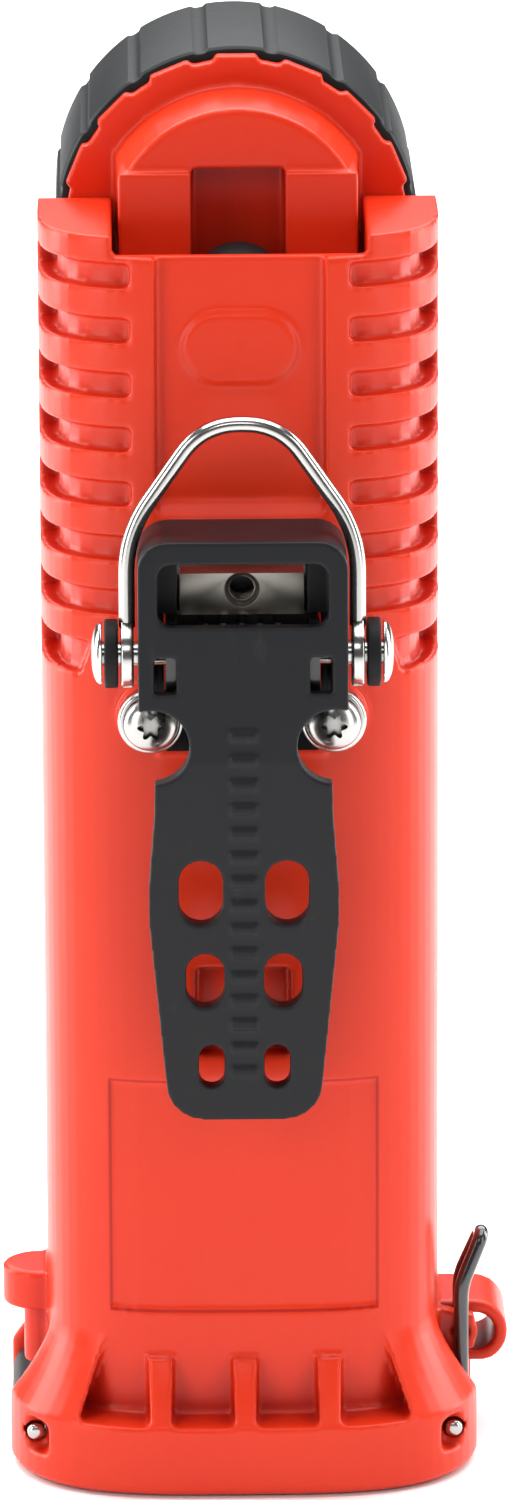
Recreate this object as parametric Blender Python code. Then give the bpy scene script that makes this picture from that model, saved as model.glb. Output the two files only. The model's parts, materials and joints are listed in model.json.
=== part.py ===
# Right-angle firefighter flashlight: upright tube, head with its beam along +Y, back with clip along -Y.
# Metres, +Z up. The origin is the middle of the flat foot that the light stands on.

import math

import bpy
import bmesh
from mathutils import Matrix, Vector

MM = 0.001
GAP = 0.3 * MM  # clearance between pieces that touch
OVERLAP = 1.0 * MM  # how far joined shapes run into each other
REACH = 20.0 * MM  # how far a cutter runs past what it cuts
ROUND = 40  # segments of a large round piece
SMALL_ROUND = 24  # segments of a small round piece

# Cells, and the deck over them that every height above it is measured from
CELL_RADIUS = 7.2 * MM
CELL_LENGTH = 50.5 * MM
CELL_LOW = 18.9 * MM
CELL_SIDE = CELL_RADIUS + 0.4 * MM
BAY_WIDTH = 2 * (CELL_SIDE + CELL_RADIUS) + 4.4 * MM
BAY_DEPTH = 2 * CELL_RADIUS + 15.6 * MM
DECK_TOP = CELL_LOW + 2 * CELL_LENGTH + 11.1 * MM

# Tube
TUBE_WIDTH = BAY_WIDTH + 15.7 * MM
TUBE_DEPTH = BAY_DEPTH + 11.0 * MM
TUBE_BACK = -TUBE_DEPTH / 2
TUBE_SQUARENESS = 3.5  # exponent of the superellipse outline
TUBE_POINTS = 60
EAR_TOP = DECK_TOP + 29.0 * MM
BAY_SQUARENESS = 5.0
DECK_THICKNESS = 6.5 * MM

# Foot
FOOT_WIDTH = TUBE_WIDTH + 10.3 * MM
FOOT_DEPTH = TUBE_DEPTH + 12.0 * MM
FOOT_SQUARENESS = 3.3
FOOT_HEIGHT = 9.0 * MM
FLARE_HEIGHT = 10.5 * MM
FLARE_CURVE = 1.5
SKIRT_WALL = 4.0 * MM
SKIRT_DEPTH = 6.6 * MM  # skirt wall under the pockets, front and back
NOTCH_LENGTH = 19.8 * MM
GUSSET_WIDTH = 2.7 * MM
GUSSET_PITCH = 10.6 * MM
GUSSET_HEIGHT = 7.5 * MM
POCKET_HALF = 20.9 * MM
POCKET_LEAN = 4.3 * MM

# Door and its hinge
HINGE_HEIGHT = 5.4 * MM
HINGE_RADIUS = 3.6 * MM
HINGE_INSET = 0.5 * MM
HINGE_PIN_RADIUS = 1.2 * MM
HINGE_PIN_LENGTH = 30.0 * MM
DOOR_THICKNESS = 7.4 * MM
DOOR_LIP = 1.7 * MM
SEAL_THICKNESS = 1.5 * MM
SEAL_WIDTH = 1.6 * MM

# Latch
WIRE_LATCH = 1.9 * MM
LATCH_PIVOT_HEIGHT = 15.0 * MM
LATCH_LEG_NEAR = -8.2 * MM
LATCH_LEG_FAR = -3.4 * MM
LATCH_BEND_HEIGHT = 21.6 * MM
LATCH_TOP_HEIGHT = 27.9 * MM
LATCH_LEAN = 2.6 * MM

# Lanyard ring and post
RING_RADIUS = 4.1 * MM
RING_STAND = 0.75 * MM  # from the tube's side to the ring's rim
RING_BORE = 2.5 * MM
RING_LENGTH = 12.0 * MM
RING_HEIGHT = 13.3 * MM
POST_RADIUS = 2.4 * MM
POST_CAP_RADIUS = 5.0 * MM
POST_CAP_HEIGHT = 5.0 * MM
POST_TOP = 22.7 * MM

# Back of the tube
PANEL_WIDTH = 20.8 * MM
PANEL_BOTTOM = DECK_TOP - 4.0 * MM
PANEL_TOP = DECK_TOP + 26.5 * MM
PANEL_DEPTH = 1.8 * MM
PANEL_WALL = 1.5 * MM
RAIL_WIDTH = 3.0 * MM
GROOVE_COUNT = 7
GROOVE_PITCH = 6.85 * MM
GROOVE_HEIGHT = 3.1 * MM
GROOVE_FIRST = DECK_TOP + 24.2 * MM
GROOVE_SIDE_DEPTH = 2.4 * MM
GROOVE_BACK_DEPTH = 1.5 * MM
GROOVE_SQUARENESS = 4.2  # squarer than the tube, which leaves a wall beside the head well
GROOVE_END = -2.5 * MM
GRIP_LOW = DECK_TOP - 26.5 * MM
LABEL_WIDTH = 33.4 * MM
LABEL_BOTTOM = 22.5 * MM
LABEL_TOP = 52.6 * MM
LABEL_DEPTH = 0.4 * MM
HOOK_WIDTH = 11.8 * MM
HOOK_BOTTOM = DECK_TOP - 75.0 * MM
HOOK_TOP = DECK_TOP - 63.6 * MM
HOOK_DEPTH = 3.0 * MM
BADGE_HEIGHT = DECK_TOP + 15.0 * MM
BADGE_WIDTH = 14.0 * MM
BADGE_RAISE = 0.6 * MM

# Head
HEAD_HEIGHT = DECK_TOP + 24.6 * MM
FLANGE_BACK = 5.5 * MM
FLANGE_THICKNESS = 2.5 * MM
FLANGE_RADIUS = 22.1 * MM
TEETH = 16
TOOTH_DEPTH = 0.7 * MM
TOOTH_SHARE = 0.6
CAP_TOOTH_DEPTH = 0.35 * MM
CAP_TOOTH_SHARE = 0.84
NECK_RADIUS = 19.8 * MM
NECK_LENGTH = 22.5 * MM
HEAD_BORE = 17.2 * MM
HOOD_HALF = 15.3 * MM
HOOD_RADIUS = 18.6 * MM
HOOD_BACK = TUBE_BACK + 14.0 * MM
HOOD_FACE_HALF = 13.7 * MM
GUARD_HALF = 14.8 * MM
GUARD_TOP = DECK_TOP + 34.4 * MM
GUARD_STEP = 0.8 * MM
ALCOVE_HALF = 5.8 * MM
ALCOVE_TOP = DECK_TOP + 34.9 * MM
ALCOVE_DEPTH = 5.0 * MM
SWITCH_DECK = DECK_TOP + 20.0 * MM
SWITCH_DECK_THICKNESS = 2.5 * MM
CAP_RADIUS = 22.7 * MM
CAP_FRONT = 40.5 * MM
CAP_WALL = 1.45 * MM
CAP_LIP = 18.0 * MM
CAP_PITCH = 2.0 * MM
CAP_TRAVEL = 4.0 * MM

# Switch
BUTTON_RADIUS = 5.6 * MM
BUTTON_MIDDLE = TUBE_BACK + 11.5 * MM
BUTTON_TOP = DECK_TOP + 26.1 * MM
BUTTON_DOME = 5.0 * MM
BUTTON_TRAVEL = 2.0 * MM
BUTTON_FLANGE = BUTTON_RADIUS + 1.0 * MM
SWITCH_BODY = 11.0 * MM

# Optics
LENS_THICKNESS = 2.4 * MM
GASKET_THICKNESS = 1.8 * MM
LED_DOME = 1.9 * MM
REFLECTOR_WALL = 1.0 * MM
SINK_THICKNESS = 3.0 * MM
BOARD_THICKNESS = 1.4 * MM

# Clip
PIVOT_HEIGHT = DECK_TOP - 20.6 * MM
PIVOT_BACK = TUBE_BACK - 9.5 * MM
PIVOT_RADIUS = 1.5 * MM
CLIP_WIDTH = 25.6 * MM
CLIP_TOP = DECK_TOP - 5.2 * MM
CLIP_FACE = TUBE_BACK - 16.0 * MM
CLIP_HEAD_DEPTH = 12.6 * MM
CLIP_HEAD_LOW = DECK_TOP - 26.4 * MM
CLIP_PLATE = 2.0 * MM
CLIP_CORNER = 3.7 * MM
CLIP_TIP = DECK_TOP - 80.0 * MM
CLIP_TIP_SLOPE = 5.5 * MM
JAW_TOP = DECK_TOP - 37.0 * MM
JAW_SHOULDER = 21.7 * MM
JAW_WIDEST = 23.3 * MM
JAW_WIDEST_HEIGHT = DECK_TOP - 52.0 * MM
JAW_TIP_WIDTH = 19.3 * MM
JAW_PLATE = 3.0 * MM
WINDOW_WIDTH = 20.8 * MM
WINDOW_LOW = DECK_TOP - 15.9 * MM
WINDOW_TOP = DECK_TOP - 8.0 * MM
PORT_WIDTH = 2.7 * MM
PORT_HEIGHT = 4.6 * MM
PORT_MIDDLE = 9.5 * MM
PORT_LEVEL = DECK_TOP - 22.0 * MM
BAR_WIDTH = 15.2 * MM
BAR_LOW = DECK_TOP - 16.4 * MM
BAR_HEIGHT = 5.2 * MM
BAR_HOLE_RISE = 0.6  # share of the bar's height at which its hole stands
BAR_DEPTH = 3.2 * MM
BAR_FACE = TUBE_BACK - 7.1 * MM
BRACKET_SHEET = 1.3 * MM
BRACKET_HALF = 9.4 * MM

# Screws of the bracket
SCREW_SIDE = 11.3 * MM
SCREW_HEIGHT = DECK_TOP - 31.0 * MM
SCREW_RADIUS = 1.5 * MM
SCREW_HEAD = 3.3 * MM
SCREW_HEAD_HEIGHT = 2.4 * MM
SCREW_LENGTH = 3.6 * MM
CUP_RADIUS = 4.05 * MM
CUP_HEIGHT = 1.3 * MM
PAD_RAISE = 0.5 * MM

# D-ring
D_WIRE = 2.0 * MM
D_HALF = 14.1 * MM
D_SHOULDER = 15.0 * MM
D_REACH = 28.6 * MM
D_EYE_RADIUS = 4.2 * MM
D_EYE_THICKNESS = 1.6 * MM
WASHER_RADIUS = 4.25 * MM
WASHER_THICKNESS = 1.7 * MM
RIVET_HEAD_RADIUS = 3.9 * MM
RIVET_HEAD_HEIGHT = 1.3 * MM

# Cell ends and carrier
CELL_NUB_RADIUS = 2.7 * MM
CELL_NUB = 1.0 * MM
CARRIER_PLATE = 1.8 * MM
SPRING_ROOM = 4.6 * MM
CARRIER_RAIL = 1.3 * MM
SPRING_WIRE = 0.7 * MM

# Small pieces
LATCH_AXLE = 0.75 * MM
LATCH_FOOT = 3.0 * MM
CONTACT_SIDE = FOOT_WIDTH / 2 - 3.6 * MM
CONTACT_HEIGHT = 5.8 * MM
CONTACT_WINDOW = 3.4 * MM
CONTACT_FLOOR = 9.3 * MM - FOOT_DEPTH / 2
CONTACT_RADIUS = 1.1 * MM
CONTACT_LENGTH = 2.4 * MM
STRIP_PLACE = -7.0 * MM
SWITCH_BAY = 10.6 * MM
BUTTON_STEM = 2.1 * MM
HOOD_TOP = DECK_TOP + 42.75 * MM
HEAD_SCREW_RADIUS = 1.0 * MM
HEAD_SCREW_BITE = 6.0 * MM
HEAD_SCREWS = [(x * MM, y * MM) for x in (-12.7, 12.7) for y in (-12.0, 0.0)]
ORING_RADIUS = 0.8 * MM
ORING_FLOOR = 18.9 * MM
ORING_PLACE = 22.0 * MM
TIP_CORNER = 4.7 * MM
TOOTH_HALF = 2.2 * MM
BAR_HOLE = 1.65 * MM
CLIP_SLOTS = [  # distance from the middle, height, width, length
    (5.3 * MM, DECK_TOP - 49.9 * MM, 5.4 * MM, 8.5 * MM),
    (4.8 * MM, DECK_TOP - 61.5 * MM, 4.7 * MM, 7.1 * MM),
    (4.05 * MM, DECK_TOP - 72.9 * MM, 3.15 * MM, 5.7 * MM),
]

# Worked out from the sizes above
tubeBack = TUBE_BACK
footHalf = FOOT_WIDTH / 2
tubeSide = TUBE_WIDTH / 2
panelPlane = tubeBack + PANEL_DEPTH
wallInside = panelPlane + PANEL_WALL
flareTop = FOOT_HEIGHT + FLARE_HEIGHT
notchHalf = NOTCH_LENGTH / 2
doorGap = 0.5 * MM
hingeSide = -(footHalf - HINGE_RADIUS - HINGE_INSET)
doorLeft = hingeSide + HINGE_HEIGHT + GAP
sealLow = DOOR_THICKNESS + GAP
tubeFoot = sealLow + SEAL_THICKNESS + GAP
bayTop = DECK_TOP - DECK_THICKNESS
padPlane = tubeBack - PAD_RAISE
flangeFront = FLANGE_BACK + FLANGE_THICKNESS
capBack = flangeFront + GAP
neckFront = flangeFront + NECK_LENGTH
capBore = CAP_RADIUS - CAP_TOOTH_DEPTH - CAP_WALL
wallHole = 0.95 * MM
swingRoom = 0.2 * DOOR_THICKNESS
latchOut = tubeSide + 2.8 * MM
lipOut = footHalf - SKIRT_WALL - doorGap + DOOR_LIP
cellTop = CELL_LOW + 2 * CELL_LENGTH + GAP
contactPlateTop = cellTop + GAP + CARRIER_PLATE + GAP + 0.8 * MM


# ---------- helpers ----------

def clear_scene():
    for thing in list(bpy.data.objects):
        bpy.data.objects.remove(thing, do_unlink=True)


def material(name, colour, roughness, metallic=0.0):
    made = bpy.data.materials.new(name)
    made.use_nodes = True
    shader = made.node_tree.nodes["Principled BSDF"]
    shader.inputs["Base Color"].default_value = (*colour, 1.0)
    shader.inputs["Roughness"].default_value = roughness
    shader.inputs["Metallic"].default_value = metallic
    return made


def superellipse(width, depth, power, count=TUBE_POINTS):
    """Outline points of a superellipse, anticlockwise."""
    points = []
    for step in range(count):
        turn = 2 * math.pi * step / count
        across = math.copysign(abs(math.cos(turn)) ** (2 / power), math.cos(turn))
        along = math.copysign(abs(math.sin(turn)) ** (2 / power), math.sin(turn))
        points.append((width / 2 * across, depth / 2 * along))
    return points


def circle(radius, count=SMALL_ROUND, middle=(0.0, 0.0), start=0.0, sweep=2 * math.pi):
    steps = count if sweep >= 2 * math.pi else count - 1
    return [
        (
            middle[0] + radius * math.cos(start + sweep * step / steps),
            middle[1] + radius * math.sin(start + sweep * step / steps),
        )
        for step in range(count)
    ]


def rounded(width, height, radius, middle=(0.0, 0.0), count=5):
    """Rectangle with round corners, anticlockwise."""
    radius = min(radius, 0.499 * width, 0.499 * height)
    points = []
    for corner, (across, along) in enumerate(((1, 1), (-1, 1), (-1, -1), (1, -1))):
        centre = (
            middle[0] + across * (width / 2 - radius),
            middle[1] + along * (height / 2 - radius),
        )
        points += circle(radius, count, centre, corner * math.pi / 2, math.pi / 2)
    return points


def placed(point, level, axis):
    """A point of an outline at a level along an axis: x keeps (y, z), y keeps (x, z), z keeps (x, y)."""
    if axis == "x":
        return (level, point[0], point[1])
    if axis == "y":
        return (point[0], level, point[1])
    return (point[0], point[1], level)


def loft(rings):
    """Closed shape through rings of equal count; each ring is a list of 3D points."""
    count = len(rings[0])
    points = [point for ring in rings for point in ring]
    faces = [tuple(range(count)), tuple(range(len(points) - count, len(points)))]
    for ring in range(len(rings) - 1):
        for step in range(count):
            after = (step + 1) % count
            low = ring * count
            faces.append((low + step, low + after, low + count + after, low + count + step))
    return points, faces


def prism(outline, axis, low, high):
    return loft([[placed(p, low, axis) for p in outline], [placed(p, high, axis) for p in outline]])


def box(x0, x1, y0, y1, z0, z1):
    return prism([(x0, y0), (x1, y0), (x1, y1), (x0, y1)], "z", z0, z1)


def turned(profile, axis, centre, count=ROUND):
    """Lathe of (radius, level) points round a line along axis through centre (the two other coordinates)."""
    rings = []
    for radius, level in profile:
        rings.append([placed(p, level, axis) for p in circle(radius, count, centre)])
    return loft(rings)


def ring(inner, outer, axis, low, high, centre=(0.0, 0.0), count=ROUND):
    """Washer or tube wall: a closed loop of square section."""
    section = [(inner, low), (outer, low), (outer, high), (inner, high)]
    return turned_loop(section, axis, centre, count)


def sweep(path, radius, sides=10, closed=False):
    """Round wire along a path of 3D points."""
    path = [Vector(p) for p in path]
    count = len(path)
    rings = []
    normal = None
    for step, point in enumerate(path):
        before = path[(step - 1) % count] if closed or step else point
        after = path[(step + 1) % count] if closed or step < count - 1 else point
        along = (after - before).normalized()
        if normal is None:
            normal = along.orthogonal().normalized()
        normal = (normal - along * normal.dot(along)).normalized()
        across = along.cross(normal)
        rings.append([
            tuple(point + radius * (math.cos(a) * normal + math.sin(a) * across))
            for a in (2 * math.pi * side / sides for side in range(sides))
        ])
    if not closed:
        return loft(rings)
    points, faces = loft(rings)
    last = (count - 1) * sides
    bridge = [
        (last + side, last + (side + 1) % sides, (side + 1) % sides, side)
        for side in range(sides)
    ]
    return points, faces[2:] + bridge


def rounded_path(corners, radius, steps, closed=False):
    """A path whose inner corners are turned into arcs."""
    path = []
    count = len(corners)
    for number, corner in enumerate(corners):
        corner = Vector(corner)
        if not closed and number in (0, count - 1):
            path.append(tuple(corner))
            continue
        before = Vector(corners[number - 1]) - corner
        after = Vector(corners[(number + 1) % count]) - corner
        reach = min(radius, 0.45 * before.length, 0.45 * after.length)
        start, end = corner + before.normalized() * reach, corner + after.normalized() * reach
        for step in range(steps + 1):
            share = step / steps
            path.append(tuple(start.lerp(corner, share).lerp(corner.lerp(end, share), share)))
    return path


def looped(outlines, axis):
    """Closed loop of section: each outline is a ring at its level, and the last joins the first."""
    count = len(outlines[0][0])
    points = [placed(p, level, axis) for outline, level in outlines for p in outline]
    faces = []
    for side in range(len(outlines)):
        for step in range(count):
            after = (step + 1) % count
            first, second = side * count, (side + 1) % len(outlines) * count
            faces.append((first + step, first + after, second + after, second + step))
    return points, faces


def turned_loop(section, axis, centre, count=ROUND):
    """Lathe of a closed section of (radius, level) points, such as a washer or an O-ring."""
    return looped([(circle(radius, count, centre), level) for radius, level in section], axis)


def coil(radius, wire, low, high, turns, centre, axis="z", sides=5, steps=11):
    """Compression or torsion spring wound round a line along axis."""
    path = []
    total = int(turns * steps)
    for step in range(total + 1):
        turn = 2 * math.pi * step / steps
        level = low + (high - low) * step / total
        path.append(placed(
            (centre[0] + radius * math.cos(turn), centre[1] + radius * math.sin(turn)), level, axis
        ))
    return sweep(path, wire / 2, sides)


def joined(*shapes):
    points, faces = [], []
    for more_points, more_faces in shapes:
        start = len(points)
        points += more_points
        faces += [tuple(start + i for i in face) for face in more_faces]
    return points, faces


def mesh_object(name, shape, finish=None, smooth=35):
    points, faces = shape
    mesh = bpy.data.meshes.new(name)
    mesh.from_pydata([tuple(p) for p in points], [], faces)
    work = bmesh.new()
    work.from_mesh(mesh)
    bmesh.ops.recalc_face_normals(work, faces=work.faces)
    work.to_mesh(mesh)
    work.free()
    made = bpy.data.objects.new(name, mesh)
    bpy.context.scene.collection.objects.link(made)
    if finish:
        mesh.materials.append(finish)
        mesh.shade_smooth()
        mesh.set_sharp_from_angle(angle=math.radians(smooth))
    return made


def helper(name, shape):
    """A shape that only cuts or joins, and isn't a piece of the light."""
    made = mesh_object(name, shape)
    made.hide_render = True
    made.display_type = "WIRE"
    return made


def combine(target, other, operation):
    modifier = target.modifiers.new(f"{operation.lower()}_{other.name}"[:60], "BOOLEAN")
    modifier.operation = operation
    modifier.solver = "EXACT"
    modifier.object = other


def cut(target, name, *shapes):
    for number, shape in enumerate(shapes):
        combine(target, helper(f"cut_{name}_{number}", shape), "DIFFERENCE")


def add(target, name, *shapes):
    for number, shape in enumerate(shapes):
        combine(target, helper(f"add_{name}_{number}", shape), "UNION")


def on_axis(thing, point):
    """Moves an object's origin to a point on its joint's axis and leaves its shape where it is."""
    thing.data.transform(Matrix.Translation(-Vector(point)))
    thing.location = point


def mirrored(shape):
    points, faces = shape
    return [(-x, y, z) for x, y, z in points], [tuple(reversed(face)) for face in faces]


def toothed(radius, drop, share, axis_height, start=math.pi / 2):
    """Outline of a disc whose rim has wide raised flats and narrow low flats."""
    points = []
    period = 2 * math.pi / TEETH
    raised = period * share
    for tooth in range(TEETH):
        middle = start + tooth * period
        for offset, reach in (
            (-raised / 2, radius),
            (raised / 2, radius),
            (raised / 2 + 0.012, radius - drop),
            (period - raised / 2 - 0.012, radius - drop),
        ):
            angle = middle + offset
            points.append((reach * math.cos(angle), axis_height + reach * math.sin(angle)))
    return points


# ---------- finishes ----------

clear_scene()
orange = material("orange_polymer", (0.86, 0.09, 0.03), 0.38)
black = material("black_nylon", (0.03, 0.03, 0.034), 0.45)
rubber = material("black_rubber", (0.018, 0.018, 0.02), 0.7)
steel = material("stainless_steel", (0.62, 0.6, 0.57), 0.25, 1.0)
blackWire = material("black_coated_wire", (0.02, 0.02, 0.022), 0.25)
aluminium = material("aluminium", (0.75, 0.76, 0.78), 0.35, 1.0)
mirror = material("vacuum_metallised", (0.9, 0.9, 0.92), 0.08, 1.0)
clear = material("clear_polycarbonate", (0.85, 0.9, 0.92), 0.05)
brass = material("nickelled_brass", (0.7, 0.62, 0.42), 0.3, 1.0)
boardGreen = material("circuit_board", (0.03, 0.18, 0.08), 0.5)
emitter = material("led_phosphor", (0.9, 0.75, 0.2), 0.3)
cellSleeve = material("cell_sleeve", (0.08, 0.1, 0.16), 0.35)


# ---------- body shell ----------

def foot_flare():
    """Foot with its skirt, sweeping up into the tube, with pockets between three gussets."""
    rings = [[placed(p, 0.0, "z") for p in superellipse(FOOT_WIDTH - 1.6 * MM, FOOT_DEPTH - 1.6 * MM, FOOT_SQUARENESS)]]
    rings.append([placed(p, 0.8 * MM, "z") for p in superellipse(FOOT_WIDTH, FOOT_DEPTH, FOOT_SQUARENESS)])
    levels = 5
    for step in range(levels + 1):
        rise = step / levels
        share = (1 - rise) ** FLARE_CURVE
        width = TUBE_WIDTH + (FOOT_WIDTH - TUBE_WIDTH) * share - 0.2 * MM * rise
        depth = TUBE_DEPTH + (FOOT_DEPTH - TUBE_DEPTH) * share - 0.2 * MM * rise
        power = TUBE_SQUARENESS + (FOOT_SQUARENESS - TUBE_SQUARENESS) * share
        level = FOOT_HEIGHT + FLARE_HEIGHT * rise
        rings.append([placed(p, level, "z") for p in superellipse(width, depth, power)])
    flare = helper("add_foot_flare", loft(rings))
    edges = [-GUSSET_PITCH, 0.0, GUSSET_PITCH]
    bounds = [-POCKET_HALF - GUSSET_WIDTH / 2] + edges + [POCKET_HALF + GUSSET_WIDTH / 2]
    top = flareTop + OVERLAP
    for number in range(len(bounds) - 1):
        left = bounds[number] + GUSSET_WIDTH / 2
        right = bounds[number + 1] - GUSSET_WIDTH / 2
        lean_left = POCKET_LEAN if number == 0 else 0.35 * MM
        lean_right = POCKET_LEAN if number == len(bounds) - 2 else 0.35 * MM
        outline = [(left, FOOT_HEIGHT), (right, FOOT_HEIGHT), (right - lean_right, top), (left + lean_left, top)]
        cut(flare, f"pocket_back_{number}", prism(outline, "y", tubeBack + 6 * MM, -FOOT_DEPTH))
        cut(flare, f"pocket_front_{number}", prism(outline, "y", -tubeBack - 6 * MM, FOOT_DEPTH))
    rib_half = GUSSET_PITCH + GUSSET_WIDTH
    for word, near in (("back", tubeBack + 6 * MM), ("front", -tubeBack - 6 * MM)):
        low, high = sorted((near, math.copysign(FOOT_DEPTH, near)))
        cut(flare, f"rib_top_{word}", box(-rib_half, rib_half, low, high, FOOT_HEIGHT + GUSSET_HEIGHT, top + OVERLAP))
    for side in (-1, 1):
        inside, outside = side * (tubeSide - 1.5 * MM), side * (footHalf + REACH)
        notch = box(min(inside, outside), max(inside, outside), -notchHalf, notchHalf, -OVERLAP, top)
        cut(flare, f"notch_{side}", notch)
    return flare


def grip_cutter():
    """Grooves round both back corners and the last slanted pocket under them."""
    inner = PANEL_WIDTH / 2 + RAIL_WIDTH
    shapes = []
    for number in range(GROOVE_COUNT):
        middle = GROOVE_FIRST - number * GROOVE_PITCH
        low, high = middle - GROOVE_HEIGHT / 2, middle + GROOVE_HEIGHT / 2
        if number == GROOVE_COUNT - 1:
            inner = PANEL_WIDTH / 2 + RAIL_WIDTH + OVERLAP
        groove = box(inner, tubeSide + REACH, tubeBack - REACH, GROOVE_END, low, high)
        shapes += [groove, mirrored(groove)]
    last = GROOVE_FIRST - (GROOVE_COUNT - 1) * GROOVE_PITCH - GROOVE_HEIGHT / 2
    top = last - (GROOVE_PITCH - GROOVE_HEIGHT)
    outline = [(tubeSide + REACH, top), (inner + 4 * MM, top), (inner + 5.5 * MM, GRIP_LOW), (tubeSide + REACH, top - 0.6 * MM)]
    wedge = prism(outline, "y", tubeBack - REACH, GROOVE_END)
    shapes += [wedge, mirrored(wedge)]
    cutter = helper("cut_grip", joined(*shapes))
    floor = superellipse(TUBE_WIDTH - 2 * GROOVE_SIDE_DEPTH, TUBE_DEPTH - 2 * GROOVE_BACK_DEPTH, GROOVE_SQUARENESS, 36)
    combine(cutter, helper("cut_grip_floor", prism(floor, "z", GRIP_LOW - REACH, EAR_TOP + REACH)), "DIFFERENCE")
    return cutter


def label_cutter():
    """Shallow label recess that follows the crowned back."""
    cutter = helper("cut_label", box(-LABEL_WIDTH / 2, LABEL_WIDTH / 2, tubeBack - REACH, 0.0, LABEL_BOTTOM, LABEL_TOP))
    floor = superellipse(TUBE_WIDTH - 2 * LABEL_DEPTH, TUBE_DEPTH - 2 * LABEL_DEPTH, TUBE_SQUARENESS, 36)
    combine(cutter, helper("cut_label_floor", prism(floor, "z", LABEL_BOTTOM - REACH, LABEL_TOP + REACH)), "DIFFERENCE")
    return cutter


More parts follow.
